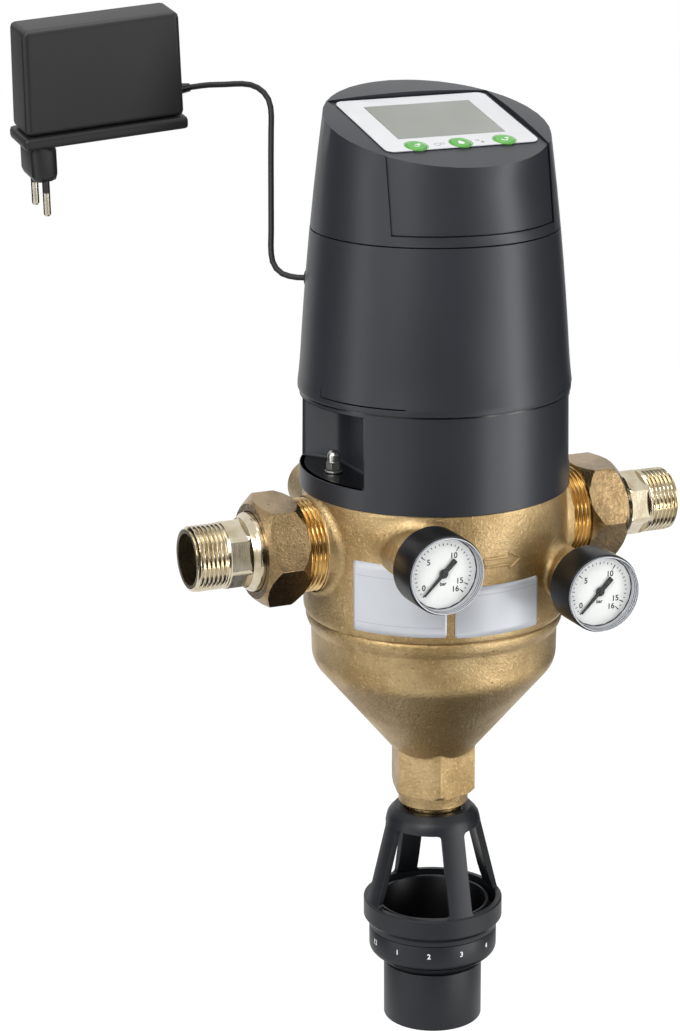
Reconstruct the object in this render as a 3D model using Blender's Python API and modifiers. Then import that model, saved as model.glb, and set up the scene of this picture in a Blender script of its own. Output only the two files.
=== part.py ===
"""Self cleaning water filter for a 1 inch pipe, with a motor head and a drain funnel.

Lengths are in millimetres and become metres in the modelling helpers. The origin is where the
pipe axis (X, flow towards +X) crosses the upright axis of the filter (Z). The front is -Y.
"""

import math

import bmesh
import bpy
from mathutils import Euler, Matrix, Vector

MM = 0.001
GAP = 0.3
STEPS = 36
MERGE = 0.00001
OBJECT_NAME = "self_cleaning_filter"

# Pipe line: tails with a 1 inch taper thread, held by union nuts
TAIL_END = 135.3
TAIL_BORE_RADIUS = 13.1
TAIL_THREAD_RADIUS = 16.6
TAIL_THREAD_END = 118.0
TAIL_TUBE_RADIUS = 16.9
TAIL_FLATS = 31.2
TAIL_CONE_END = 107.5
TAIL_CONE_START = 103.5
TAIL_COLLAR_RADIUS = 20.0
TAIL_FLANGE_RADIUS = 22.8
TAIL_FLANGE_LENGTH = 3.9
PORT_NECK_RADIUS = 23.9
PORT_NECK_END = 91.9
PORT_BORE_RADIUS = 14.0
GASKET_THICKNESS = 1.6
NUT_ACROSS_FLATS = 50.8
NUT_START = 79.0
NUT_MOUTH_WALL = 2.7
NUT_END_RADIUS = 24.2
NUT_START_RADIUS = 25.6
NUT_START_CHAMFER = 5.5
NUT_END_CHAMFER = 5.0
NUT_EDGE_ANGLES = (52.6, 57.0)

# Cast brass body
BODY_TOP = 25.0
BODY_RADIUS = 67.5
BODY_LEDGE = -38.0
LEDGE_ROUND = 3.4
BEAD_HEIGHT = 8.5
BOWL_RADIUS = 63.4
BOWL_CORNER = -63.3
BOWL_CORNER_ROUND = 14.0
CONE_ANGLE = 40.0
CONE_END_RADIUS = 20.5
CAST_WALL = 5.5
HEX_FOOT_RADIUS = 23.3
HEX_FOOT_ANGLE = -15.8
HEX_FOOT_TOP = -112.0
HEX_FOOT_BOTTOM = -141.8
SPIGOT_RADIUS = 18.3
SPIGOT_BOTTOM = -149.3
NIPPLE_RADIUS = 15.0
NIPPLE_LENGTH = 9.0
DRAIN_BORE_RADIUS = 9.0
SHELF_TOP = 19.0
SHELF_THICKNESS = 4.0
GALLERY_RADIUS = 52.3
DUCT_WIDTH = 54.0
DUCT_INNER = 38.8
BOSS_RADIUS = 12.6
BOSS_END = 66.0
REAR_BOSS_X = (-40.0, 40.0)
REAR_BOSS_Z = 11.5
REAR_BOSS_RADIUS = 13.5
REAR_BOSS_END = 68.0
TAPPING_RADIUS = 5.0
TAPPING_DEPTH = 14.0

# Pressure gauges: inlet at the left, outlet at the right
GAUGE_X = (-38.5, 47.1)
GAUGE_Z = (6.2, -14.1)
GAUGE_FRONT = 97.3
GAUGE_RADIUS = 19.9
GAUGE_CASE_RADIUS = 19.3
GAUGE_CASE_BACK = 75.5
GAUGE_WALL = 1.4
GAUGE_GLASS_THICKNESS = 1.4
GAUGE_LIP = 1.0
DIAL_DEPTH = 5.8
DIAL_THICKNESS = 0.8
POINTER_LENGTH = 14.5
POINTER_TAIL = 8.8
POINTER_ZERO = -135.0
GAUGE_HEX = 14.0

# Screen, flushing rotor and flushing valve
SCREEN_RADIUS = 37.0
SCREEN_WALL = 2.2
SCREEN_FLANGE_RADIUS = 41.0
SCREEN_FLANGE = 2.7
SCREEN_BOTTOM = -90.6
SCREEN_FLOOR = 4.0
SCREEN_WINDOWS = 3
MESH_WALL = 0.8
SCREEN_STEPS = 24
SUCTION_TUBE_RADIUS = 8.0
SUCTION_TUBE_BORE = 5.6
SUCTION_HEIGHTS = (-6.0, -36.0, -66.0)
NOZZLE_HEIGHT = 26.0
NOZZLE_WIDTH = 10.0
NOZZLE_THICKNESS = 4.0
ARM_RADIUS = 4.2
VALVE_RADIUS = 11.6
VALVE_THICKNESS = 4.0
VALVE_PORT_RADIUS = 3.0
VALVE_PORT_OFFSET = 6.0
SHAFT_RADIUS = 4.0

# Bonnet, foot ring of the drive and its fasteners
BONNET_FLANGE_RADIUS = 62.3
BONNET_FLANGE = 6.0
BONNET_SKIRT_WALL = 4.0
BONNET_SKIRT_DEPTH = 3.8
BONNET_HEIGHT = 21.0
BONNET_ROOF = 6.0
BONNET_DOME_RADIUS = 38.0
BONNET_WALL = 5.0
GLAND_RADIUS = 9.0
GLAND_HEIGHT = 8.0
SEAL_THICKNESS = 2.6
SKIRT_BOTTOM = 25.35
SKIRT_TOP = 75.2
SKIRT_BOTTOM_RADIUS = 69.0
SKIRT_TOP_RADIUS = 68.3
SKIRT_WALL = 3.0
SKIRT_FLOOR_TOP = 36.0
NICHE_BACK = 42.0
NICHE_RADIUS = 56.9
NICHE_TOP = 72.7
NICHE_WALL = 2.5
UPSTAND = 5.0
STUD_X = 55.8
STUD_RADIUS = 2.0
STUD_TOP = 43.0
WASHER_RADIUS = 4.6
WASHER_THICKNESS = 1.0
CAP_NUT_FLATS = 7.0
CAP_NUT_HEX = 4.0
CAP_NUT_HEIGHT = 10.0

# Plastic hood and control head
HOOD_BOTTOM = 75.6
HOOD_TOP = 157.0
HOOD_WALL = 2.5
HOOD_BASE_HEIGHT = 82.0
HOOD_BASE_RADIUS = 68.5
HOOD_DRAFT = 0.056
HOOD_CURVE = 0.000302
LIP_RADIUS = 69.4
LATCH_TOP = 79.2
LATCH_ANGLE = 58.5
LATCH_HALF_WIDTH = 25.5
SLIT_WIDTH = 0.7
SLIT_HEIGHT = 5.0
HEAD_SEAM = 0.7
HEAD_WALL = 4.6
HEAD_SPIGOT_DEPTH = 4.5
HEAD_SPIGOT_WALL = 2.0
PANEL_CENTRE_Y = -1.1
PANEL_CENTRE_Z = 209.35
PANEL_TILT = 13.67
CROWN_HEIGHT = 3.4
CROWN_SPAN = 57.0
RECESS_HALF_WIDTH = 44.0
RECESS_REAR = 35.0
RECESS_SILL = 162.4
BAND_INSET = 1.0
PANEL_THICKNESS = 1.5
FOIL_WIDTH = 82.4
FOIL_LENGTH = 66.8
FOIL_THICKNESS = 0.5
FOIL_CORNER = 4.5
SCREEN_GLASS = (57.4, 42.6)
SCREEN_GLASS_Y = 2.6
BOARD_DEPTH = 8.0
BOARD_THICKNESS = 1.6
BOARD_SIZE = (74.0, 62.0)
HEAD_OPENING = (78.0, 70.0)
PEG_RADIUS = 2.2
KEY_X = (-23.9, -0.1, 23.6)
KEY_Y = -28.6
KEY_RADIUS = 5.0
KEY_RISE = 0.3
KEY_TRAVEL = 0.5
KEY_FLANGE = 1.2

# Drive inside the hood
FRAME_RADIUS = 38.0
FRAME_FOOT_RADIUS = 33.0
FRAME_FOOT_WALL = 3.0
FRAME_HEIGHT = 17.0
FRAME_PLATE = 3.0
FRAME_ROOM = 15.0
PILLAR_RADIUS = 2.2
PILLAR_CIRCLE = 35.0
PILLAR_ANGLES = (20.0, 160.0, 270.0)
TOP_PLATE_RADIUS = 48.0
GEAR_MODULE = 1.25
WHEEL_TEETH = 36
PINION_TEETH = 12
GEAR_WIDTH = 8.0
GEAR_BACKLASH = 0.4
GEAR_ADDENDUM = 0.8
GEAR_DEDENDUM = 1.25
PRESSURE_ANGLE = 20.0
MOTOR_RADIUS = 17.0
MOTOR_HEIGHT = 46.0
MOTOR_SHAFT_RADIUS = 2.5

# Drain funnel with an air gap, and the turning reminder ring
COLLAR_TOP = -149.6
COLLAR_TOP_RADIUS = 21.0
COLLAR_RADIUS = 24.6
COLLAR_BOTTOM = -160.5
COLLAR_WALL = 3.5
LEG_WIDTH = 13.0
LEG_THICKNESS = 3.6
LEG_FOOT_RADIUS = 36.2
FUNNEL_RING_TOP = -201.0
FUNNEL_RING_BOTTOM = -219.3
FUNNEL_RING_RADIUS = 36.8
FUNNEL_RING_CHAMFER = 3.0
CUP_RIM_RADIUS = 32.3
MONTH_RING_RADIUS = 33.9
MONTH_RING_WALL = 3.2
MONTH_RING_HEIGHT = 13.0
BOWL_WALL = 2.4
BOWL_TURN = 11.5
OUTLET_RADIUS = 25.8
OUTLET_END = -271.3

# Plug-in power supply and its cord
ADAPTER_CENTRE = (-141.2, 100.0, 231.3)
ADAPTER_TILT = 9.0
ADAPTER_ROLL = 4.1
ADAPTER_SIZE = (84.5, 24.0, 54.2)
ADAPTER_DRAFT = 0.975
ADAPTER_BASE = (87.5, 27.0, 6.5)
ADAPTER_ROUND = 3.0
PLUG_HEAD = (13.5, 25.0, 18.6)
PLUG_HEAD_X = -33.0
PIN_RADIUS = 2.0
PIN_LENGTH = 18.0
PIN_SPACING = 18.6
RELIEF_RADIUS = 2.9
RELIEF_TIP_RADIUS = 2.2
RELIEF_LENGTH = 7.0
RELIEF_Z = -16.5
CORD_RADIUS = 1.5
CORD_STEP = 7.0
GROMMET_ANGLE = -128.0
GROMMET_Z = 127.5
GROMMET_RADIUS = 3.0
GROMMET_FLANGE_RADIUS = 4.4
GROMMET_FLANGE = 1.6


def tan(degrees):
    return math.tan(math.radians(degrees))


def sin(degrees):
    return math.sin(math.radians(degrees))


def cos(degrees):
    return math.cos(math.radians(degrees))


def clear_scene():
    for item in list(bpy.data.objects):
        bpy.data.objects.remove(item, do_unlink=True)


def collection(name):
    group = bpy.data.collections.new(name)
    bpy.context.scene.collection.children.link(group)
    return group


clear_scene()
PARTS = collection(OBJECT_NAME)
CUTTERS = collection("cutters")


def finish_material(name, colour, roughness, metallic=0.0, alpha=1.0):
    material = bpy.data.materials.get(name) or bpy.data.materials.new(name)
    material.use_nodes = True
    shader = material.node_tree.nodes["Principled BSDF"]
    shader.inputs["Base Color"].default_value = (*colour, 1.0)
    shader.inputs["Roughness"].default_value = roughness
    shader.inputs["Metallic"].default_value = metallic
    shader.inputs["Alpha"].default_value = alpha
    return material


FINISHES = {
    "cast_brass": ((0.32, 0.23, 0.11), 0.45, 0.9),
    "nut_bronze": ((0.20, 0.13, 0.07), 0.4, 0.9),
    "nickel_brass": ((0.62, 0.56, 0.42), 0.2, 1.0),
    "steel": ((0.6, 0.6, 0.58), 0.25, 1.0),
    "anthracite": ((0.045, 0.045, 0.052), 0.45, 0.0),
    "black_plastic": ((0.02, 0.02, 0.02), 0.4, 0.0),
    "foil": ((0.7, 0.7, 0.72), 0.35, 0.0),
    "display": ((0.40, 0.41, 0.37), 0.2, 0.0),
    "key_green": ((0.13, 0.43, 0.08), 0.4, 0.0),
    "board_green": ((0.02, 0.16, 0.06), 0.5, 0.0),
    "rubber": ((0.015, 0.015, 0.015), 0.7, 0.0),
    "ivory_plastic": ((0.62, 0.58, 0.48), 0.5, 0.0),
    "dial_white": ((0.8, 0.8, 0.78), 0.5, 0.0),
    "clear": ((0.85, 0.88, 0.9), 0.05, 0.0),
    "pin_nickel": ((0.55, 0.5, 0.4), 0.25, 1.0),
}


def link(item, group, finish):
    group.objects.link(item)
    if group is CUTTERS:
        item.hide_render = True
        item.display_type = "WIRE"
        return item
    colour, roughness, metallic = FINISHES[finish]
    item.data.materials.append(finish_material(finish, colour, roughness, metallic))
    return item


def from_bmesh(name, shape, group, finish):
    bmesh.ops.recalc_face_normals(shape, faces=shape.faces)
    mesh = bpy.data.meshes.new(name)
    shape.to_mesh(mesh)
    shape.free()
    item = link(bpy.data.objects.new(name, mesh), group, finish)
    mesh.shade_smooth()
    mesh.set_sharp_from_angle(angle=math.radians(35))
    return item


def turned(name, profile, group=None, finish=None, steps=STEPS, ring=False):
    """Turns a profile of (radius, height) points about Z. It runs down its outer side; a ring
    closes on its inner side, and other profiles start and end on the axis."""
    mesh = bpy.data.meshes.new(name)
    points = [(radius * MM, 0.0, height * MM) for radius, height in profile]
    edges = [(i, i + 1) for i in range(len(points) - 1)]
    if ring:
        edges.append((len(points) - 1, 0))
    mesh.from_pydata(points, edges, [])
    item = link(bpy.data.objects.new(name, mesh), group or CUTTERS, finish)
    screw = item.modifiers.new("turn", "SCREW")
    screw.steps = steps
    screw.render_steps = steps
    screw.use_merge_vertices = True
    screw.merge_threshold = MERGE
    screw.use_smooth_shade = True
    return item


AXES = {
    "x": Matrix.Rotation(math.radians(90), 4, "Y"),
    "y": Matrix.Rotation(math.radians(90), 4, "X"),
    "z": Matrix.Identity(4),
}


def rod(name, radius, start, end, centre=(0, 0), axis="z", group=None, finish=None,
        sides=24, end_radius=None, turn=0.0):
    """A cylinder or cone from start to end along an axis. centre holds the two other coordinates,
    in the order x, y, z. Along y, start and end count towards +Y."""
    shape = bmesh.new()
    tip = radius if end_radius is None else end_radius
    low, high = (radius, tip) if axis != "y" else (tip, radius)
    bmesh.ops.create_cone(shape, cap_ends=True, segments=sides, radius1=low * MM,
                          radius2=high * MM, depth=(end - start) * MM)
    bmesh.ops.rotate(shape, matrix=Matrix.Rotation(math.radians(turn), 3, "Z"), verts=shape.verts)
    bmesh.ops.transform(shape, matrix=AXES[axis], verts=shape.verts)
    middle = (start + end) / 2
    place = {"x": (middle, *centre), "y": (centre[0], middle, centre[1]), "z": (*centre, middle)}
    bmesh.ops.translate(shape, vec=Vector(place[axis]) * MM, verts=shape.verts)
    return from_bmesh(name, shape, group or CUTTERS, finish)


def block(name, low, high, group=None, finish=None):
    """A box between two corners."""
    shape = bmesh.new()
    bmesh.ops.create_cube(shape, size=1.0)
    size = [(b - a) * MM for a, b in zip(low, high)]
    middle = [(a + b) / 2 * MM for a, b in zip(low, high)]
    bmesh.ops.scale(shape, vec=size, verts=shape.verts)
    bmesh.ops.translate(shape, vec=middle, verts=shape.verts)
    return from_bmesh(name, shape, group or CUTTERS, finish)


def combine(target, tools, operation):
    for tool in tools:
        step = target.modifiers.new(f"{operation.lower()} {tool.name}"[:60], "BOOLEAN")
        step.operation = operation
        step.object = tool
    return target


def cut(target, *tools):
    return combine(target, tools, "DIFFERENCE")


def join(target, *tools):
    return combine(target, tools, "UNION")


def keep(target, *tools):
    return combine(target, tools, "INTERSECT")


def soften(item, width, segments=2, angle=40):
    edge = item.modifiers.new("soft edges", "BEVEL")
    edge.width = width * MM
    edge.segments = segments
    edge.limit_method = "ANGLE"
    edge.angle_limit = math.radians(angle)
    edge.use_clamp_overlap = True
    return item


def arc(centre, radius, start, end, count):
    """Points on a round stretch of a profile, with angles from the +r direction towards +z."""
    return [(centre[0] + radius * cos(start + (end - start) * i / count),
             centre[1] + radius * sin(start + (end - start) * i / count))
            for i in range(count + 1)]


# Pipe line
MOUTH_SHOULDER = PORT_NECK_END + 2 * GAP + GASKET_THICKNESS + TAIL_FLANGE_LENGTH + GAP
NUT_END = MOUTH_SHOULDER + NUT_MOUTH_WALL
FLANGE_FACE = PORT_NECK_END + 2 * GAP + GASKET_THICKNESS


def pipe_tail(name, side):
    """A threaded tail along X. Its flange is held inside the union nut."""
    flange_back = FLANGE_FACE + TAIL_FLANGE_LENGTH
    tip = TAIL_END
    profile = [
        (TAIL_BORE_RADIUS, tip), (TAIL_THREAD_RADIUS - 1.2, tip), (TAIL_THREAD_RADIUS, tip - 1.2),
        (TAIL_THREAD_RADIUS, TAIL_THREAD_END), (TAIL_TUBE_RADIUS, TAIL_THREAD_END - 0.5),
        (TAIL_TUBE_RADIUS, TAIL_CONE_END), (TAIL_COLLAR_RADIUS, TAIL_CONE_START),
        (TAIL_COLLAR_RADIUS, flange_back), (TAIL_FLANGE_RADIUS, flange_back),
        (TAIL_FLANGE_RADIUS, FLANGE_FACE), (TAIL_BORE_RADIUS, FLANGE_FACE),
    ]
    tail = turned(name, profile, PARTS, "nickel_brass", 22, ring=True)
    flats = rod(f"{name}_flats", TAIL_FLATS / 2 / cos(30), TAIL_CONE_END, TAIL_THREAD_END - 0.5,
                sides=6, turn=10)
    sleeve = turned(f"{name}_sleeve", [
        (TAIL_BORE_RADIUS + 1, TAIL_THREAD_END - 0.5), (TAIL_TUBE_RADIUS + 3, TAIL_THREAD_END - 0.5),
        (TAIL_TUBE_RADIUS + 3, TAIL_CONE_END), (TAIL_BORE_RADIUS + 1, TAIL_CONE_END)],
        steps=14, ring=True)
    cut(sleeve, flats)
    cut(tail, sleeve)
    turn = Euler((0, math.radians(90 * side), 0))
    for piece in (tail, flats, sleeve):
        piece.rotation_euler = turn
    return tail


def gasket(name, side):
    start = PORT_NECK_END + GAP
    ring = turned(name, [
        (PORT_BORE_RADIUS, start + GASKET_THICKNESS), (TAIL_FLANGE_RADIUS, start + GASKET_THICKNESS),
        (TAIL_FLANGE_RADIUS, start), (PORT_BORE_RADIUS, start)], PARTS, "rubber", 18, ring=True)
    ring.rotation_euler = (0, math.radians(90 * side), 0)
    return ring


def union_nut(name, side, edge_angle):
    """A hexagon nut that turns about the pipe axis; its origin is on that axis."""
    corner = NUT_ACROSS_FLATS / 2 / cos(30)
    profile = [
        (TAIL_COLLAR_RADIUS + 0.6, NUT_END), (NUT_END_RADIUS, NUT_END),
        (corner, NUT_END - NUT_END_CHAMFER), (corner, NUT_START + NUT_START_CHAMFER),
        (NUT_START_RADIUS, NUT_START), (PORT_NECK_RADIUS + GAP, NUT_START),
        (PORT_NECK_RADIUS + GAP, MOUTH_SHOULDER), (TAIL_COLLAR_RADIUS + 0.6, MOUTH_SHOULDER)]
    nut = turned(name, profile, PARTS, "nut_bronze", 28, ring=True)
    hexagon = rod(f"{name}_hexagon", corner, NUT_START - 1, NUT_END + 1, sides=6,
                  turn=180 - side * edge_angle)
    keep(nut, hexagon)
    for piece in (nut, hexagon):
        piece.rotation_euler = (0, math.radians(90 * side), 0)
    return nut


# Cast brass body
def cone_radius(height):
    """Outer radius of the cast cone, which leaves the bowl at its rounded corner."""
    tangent_radius = BOWL_RADIUS - BOWL_CORNER_ROUND * (1 - cos(CONE_ANGLE))
    tangent_height = BOWL_CORNER - BOWL_CORNER_ROUND * sin(CONE_ANGLE)
    return tangent_radius - (tangent_height - height) * tan(CONE_ANGLE)


def cone_height(radius):
    return BOWL_CORNER - (cone_radius(BOWL_CORNER) - radius) / tan(CONE_ANGLE)


def inner_cone_radius(height):
    return cone_radius(height) - CAST_WALL / cos(CONE_ANGLE)


SEAT_TOP = cone_height(VALVE_RADIUS + GAP + 6.5)


def body_outer_profile():
    ledge_low = BODY_LEDGE - LEDGE_ROUND
    corner = arc((BOWL_RADIUS - BOWL_CORNER_ROUND, BOWL_CORNER), BOWL_CORNER_ROUND, 0,
                 -CONE_ANGLE, 4)
    return [
        (0, BODY_TOP), (BODY_RADIUS - 0.6, BODY_TOP), (BODY_RADIUS, BODY_TOP - 0.6),
        (BODY_RADIUS, BODY_LEDGE), (BODY_RADIUS - 0.6, ledge_low + 1.2),
        (BODY_RADIUS - 1.7, ledge_low), (BODY_RADIUS - 1.4, ledge_low - 1.6),
        (BODY_RADIUS - 1.9, ledge_low - 4.4), (BOWL_RADIUS + 0.9, ledge_low - BEAD_HEIGHT + 1.6),
        (BOWL_RADIUS, ledge_low - BEAD_HEIGHT), *corner,
        (CONE_END_RADIUS, cone_height(CONE_END_RADIUS)),
        (SPIGOT_RADIUS, cone_height(CONE_END_RADIUS) - 2), (SPIGOT_RADIUS, SPIGOT_BOTTOM),
        (NIPPLE_RADIUS, SPIGOT_BOTTOM), (NIPPLE_RADIUS, SPIGOT_BOTTOM - NIPPLE_LENGTH),
        (0, SPIGOT_BOTTOM - NIPPLE_LENGTH)]


VALVE_FLOOR = cone_height(DRAIN_BORE_RADIUS + CAST_WALL / cos(CONE_ANGLE)) - 3.0
VALVE_SEAT_TOP = VALVE_FLOOR + GAP + VALVE_THICKNESS
VALVE_DISC_TOP = VALVE_SEAT_TOP + GAP + VALVE_THICKNESS
CHAMBER_RADIUS = BOWL_RADIUS - CAST_WALL


def chamber_profile():
    """The room round and below the screen, down to the seat of the flushing valve."""
    well = VALVE_RADIUS + GAP
    return [
        (0, SHELF_TOP - SHELF_THICKNESS), (CHAMBER_RADIUS, SHELF_TOP - SHELF_THICKNESS),
        (CHAMBER_RADIUS, BOWL_CORNER), (inner_cone_radius(BOWL_CORNER - 9), BOWL_CORNER - 9),
        (well, cone_height(well + CAST_WALL / cos(CONE_ANGLE))), (well, VALVE_FLOOR),
        (0, VALVE_FLOOR)]


def body_casting():
    body = turned("body_casting", body_outer_profile(), PARTS, "cast_brass", STEPS)
    bosses = []
    for x, z in zip(GAUGE_X, GAUGE_Z):
        bosses.append(rod(f"boss_{x}", BOSS_RADIUS, -BOSS_END, -20, (x, z), "y", sides=16))
    for x in REAR_BOSS_X:
        bosses.append(rod(f"rear_boss_{x}", REAR_BOSS_RADIUS, 20, REAR_BOSS_END,
                          (x, REAR_BOSS_Z), "y", sides=16))
    necks = [rod("inlet_neck", PORT_NECK_RADIUS, -PORT_NECK_END, -30, axis="x", sides=26),
             rod("outlet_neck", PORT_NECK_RADIUS, 30, PORT_NECK_END, axis="x", sides=26)]
    foot = rod("hexagon_foot", HEX_FOOT_RADIUS, HEX_FOOT_BOTTOM, HEX_FOOT_TOP, sides=6,
               turn=HEX_FOOT_ANGLE)
    join(body, *necks, *bosses, foot)

    chamber = turned("chamber_room", chamber_profile(), steps=24)
    duct_top = SHELF_TOP - SHELF_THICKNESS
    duct_floor = -PORT_BORE_RADIUS - CAST_WALL
    duct = block("duct_wall", (-CHAMBER_RADIUS - 6, -DUCT_WIDTH / 2, duct_floor),
                 (-DUCT_INNER, DUCT_WIDTH / 2, duct_top + 1))
    cut(chamber, duct)
    room = rod("gallery_room", GALLERY_RADIUS, SHELF_TOP, BODY_TOP + 1, sides=STEPS)
    hole = rod("screen_hole", SCREEN_RADIUS + GAP, duct_top - 1, SHELF_TOP + 1, sides=32)
    pocket_back = GALLERY_RADIUS - 6
    pocket = block("duct_pocket", (-pocket_back - 6, -DUCT_WIDTH / 2 + 5, -PORT_BORE_RADIUS),
                   (-DUCT_INNER - 2, DUCT_WIDTH / 2 - 5, duct_top - 3))
    riser = block("duct_riser", (-pocket_back, -14, duct_top - 4),
                  (-SCREEN_FLANGE_RADIUS - 0.6, 14, SHELF_TOP + 1))
    bores = [
        rod("inlet_bore", PORT_BORE_RADIUS, -PORT_NECK_END - 1, -pocket_back, axis="x", sides=20),
        rod("outlet_bore", PORT_BORE_RADIUS, CHAMBER_RADIUS - 8, PORT_NECK_END + 1, axis="x",
            sides=20),
        rod("drain_bore", DRAIN_BORE_RADIUS, SPIGOT_BOTTOM - NIPPLE_LENGTH - 1, VALVE_FLOOR + 1, sides=16)]
    tappings = []
    for x, z in zip(GAUGE_X, GAUGE_Z):
        tappings.append(rod(f"tapping_{x}", TAPPING_RADIUS, -BOSS_END - 1,
                            TAPPING_DEPTH - BOSS_END, (x, z), "y", sides=10))
    for x in REAR_BOSS_X:
        tappings.append(rod(f"rear_tapping_{x}", TAPPING_RADIUS, REAR_BOSS_END - TAPPING_DEPTH,
                            REAR_BOSS_END + 1, (x, REAR_BOSS_Z), "y", sides=10))
    return cut(body, chamber, room, hole, pocket, riser, *bores, *tappings)


# Screen and rotor
def screen_cage():
    top = SHELF_TOP + GAP
    inner = SCREEN_RADIUS - SCREEN_WALL
    cage = turned("screen_cage", [
        (inner, top + SCREEN_FLANGE), (SCREEN_FLANGE_RADIUS, top + SCREEN_FLANGE),
        (SCREEN_FLANGE_RADIUS, top), (SCREEN_RADIUS, top), (SCREEN_RADIUS, SCREEN_BOTTOM),
        (SUCTION_TUBE_RADIUS + GAP, SCREEN_BOTTOM),
        (SUCTION_TUBE_RADIUS + GAP, SCREEN_BOTTOM + SCREEN_FLOOR),
        (inner, SCREEN_BOTTOM + SCREEN_FLOOR)], PARTS, "ivory_plastic", SCREEN_STEPS, ring=True)
    low = SCREEN_BOTTOM + SCREEN_FLOOR + 4
    high = SHELF_TOP - SHELF_THICKNESS - 4
    pitch = (high - low) / SCREEN_WINDOWS
    windows = []
    for row in range(SCREEN_WINDOWS):
        for turn in (15, 75, 135):
            window = block(f"screen_window_{row}_{turn}", (-60, -12, low + row * pitch),
                           (60, 12, low + (row + 1) * pitch - 4))
            window.rotation_euler = (0, 0, math.radians(turn))
            windows.append(window)
    return cut(cage, *windows)


def screen_mesh():
    outer = SCREEN_RADIUS - SCREEN_WALL - GAP
    bottom = SCREEN_BOTTOM + SCREEN_FLOOR + GAP
    return turned("screen_mesh", [
        (outer - MESH_WALL, SHELF_TOP), (outer, SHELF_TOP), (outer, bottom),
        (outer - MESH_WALL, bottom)], PARTS, "steel", SCREEN_STEPS, ring=True)


def suction_tube():
    """The hollow rotor with nozzles that sweep the inside of the screen."""
    top = SUCTION_HEIGHTS[0] + NOZZLE_HEIGHT / 2 + 4
    bottom = VALVE_DISC_TOP + GAP
    tube = turned("suction_tube", [
        (0, top), (SUCTION_TUBE_RADIUS, top), (SUCTION_TUBE_RADIUS, bottom), (0, bottom)],
        PARTS, "ivory_plastic", 12)
    reach = SCREEN_RADIUS - SCREEN_WALL - GAP - MESH_WALL - 0.8
    adds = []
    for i, height in enumerate(SUCTION_HEIGHTS):
        side = 1 if i % 2 else -1
        arm = sorted((0, side * (reach - 1)))
        head = sorted((side * (reach - NOZZLE_THICKNESS), side * reach))
        adds.append(rod(f"suction_arm_{i}", ARM_RADIUS, *arm, (0, height), "x", sides=10))
        adds.append(block(f"nozzle_{i}",
                          (head[0], -NOZZLE_WIDTH / 2, height - NOZZLE_HEIGHT / 2),
                          (head[1], NOZZLE_WIDTH / 2, height + NOZZLE_HEIGHT / 2)))
    join(tube, *adds)
    return cut(tube, rod("suction_bore", SUCTION_TUBE_BORE, bottom - 1, top - 8, sides=12))


def rotor_shaft():
    low = SUCTION_HEIGHTS[0] + NOZZLE_HEIGHT / 2 + 4 + GAP
    return turned("rotor_shaft", [
        (0, SHAFT_TOP), (SHAFT_RADIUS - 0.6, SHAFT_TOP), (SHAFT_RADIUS, SHAFT_TOP - 0.6),
        (SHAFT_RADIUS, low + 5), (SUCTION_TUBE_RADIUS, low + 4), (SUCTION_TUBE_RADIUS, low),
        (0, low)], PARTS, "steel", 14)


def valve_plate(name, top, finish):
    plate = turned(name, [(0, top), (VALVE_RADIUS, top), (VALVE_RADIUS, top - VALVE_THICKNESS),
                          (0, top - VALVE_THICKNESS)], PARTS, finish, 16)
    port = rod(f"{name}_port", VALVE_PORT_RADIUS, top - VALVE_THICKNESS - 1, top + 1,
               (VALVE_PORT_OFFSET, 0), sides=12)
    return cut(plate, port)


# Bonnet, skirt and fasteners
BONNET_BOTTOM = BODY_TOP + GAP
FLANGE_TOP = BONNET_BOTTOM + BONNET_FLANGE
BONNET_TOP = BONNET_BOTTOM + BONNET_HEIGHT
GLAND_TOP = BONNET_TOP + GLAND_HEIGHT


def bonnet():
    """The pressure cover; its threaded skirt goes down into the body."""
    outer = GALLERY_RADIUS - GAP
    inner = outer - BONNET_SKIRT_WALL
    dome = BONNET_DOME_RADIUS
    roof = BONNET_TOP - BONNET_ROOF
    low = BONNET_BOTTOM - BONNET_SKIRT_DEPTH
    cover = turned("bonnet", [
        (GLAND_RADIUS - 3, GLAND_TOP), (GLAND_RADIUS, GLAND_TOP), (GLAND_RADIUS, BONNET_TOP),
        (dome - 4, BONNET_TOP), (dome, BONNET_TOP - 4),
        (dome, FLANGE_TOP), (BONNET_FLANGE_RADIUS, FLANGE_TOP),
        (BONNET_FLANGE_RADIUS, BONNET_BOTTOM), (outer, BONNET_BOTTOM), (outer, low),
        (inner, low), (inner, BONNET_BOTTOM + 1), (dome - BONNET_WALL, BONNET_BOTTOM + 1),
        (dome - BONNET_WALL - 4, roof),
        (GLAND_RADIUS - 3, roof)], PARTS, "cast_brass", 24, ring=True)
    holes = [rod(f"stud_hole_{side}", STUD_RADIUS + GAP, BONNET_BOTTOM - 1, FLANGE_TOP + 1,
                 (side * STUD_X, 0), sides=12) for side in (-1, 1)]
    return cut(cover, *holes)


def spindle_bush():
    inner = SHAFT_RADIUS + GAP
    outer = GLAND_RADIUS - 3 - GAP
    return turned("spindle_bush", [
        (inner, GLAND_TOP + GAP + 2), (GLAND_RADIUS - 0.5, GLAND_TOP + GAP + 2),
        (GLAND_RADIUS - 0.5, GLAND_TOP + GAP), (outer, GLAND_TOP + GAP),
        (outer, BONNET_TOP - BONNET_ROOF), (inner, BONNET_TOP - BONNET_ROOF)],
        PARTS, "ivory_plastic", 12, ring=True)


def bonnet_seal():
    """A ring seal below the threaded skirt, round the gallery."""
    low = SHELF_TOP + GAP
    high = BONNET_BOTTOM - BONNET_SKIRT_DEPTH - GAP
    outer = GALLERY_RADIUS - 1.0
    inner = outer - SEAL_THICKNESS
    mid = (low + high) / 2
    return turned("bonnet_seal", [
        ((inner + outer) / 2, high), (outer, mid), ((inner + outer) / 2, low), (inner, mid)],
        PARTS, "rubber", 24, ring=True)


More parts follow.
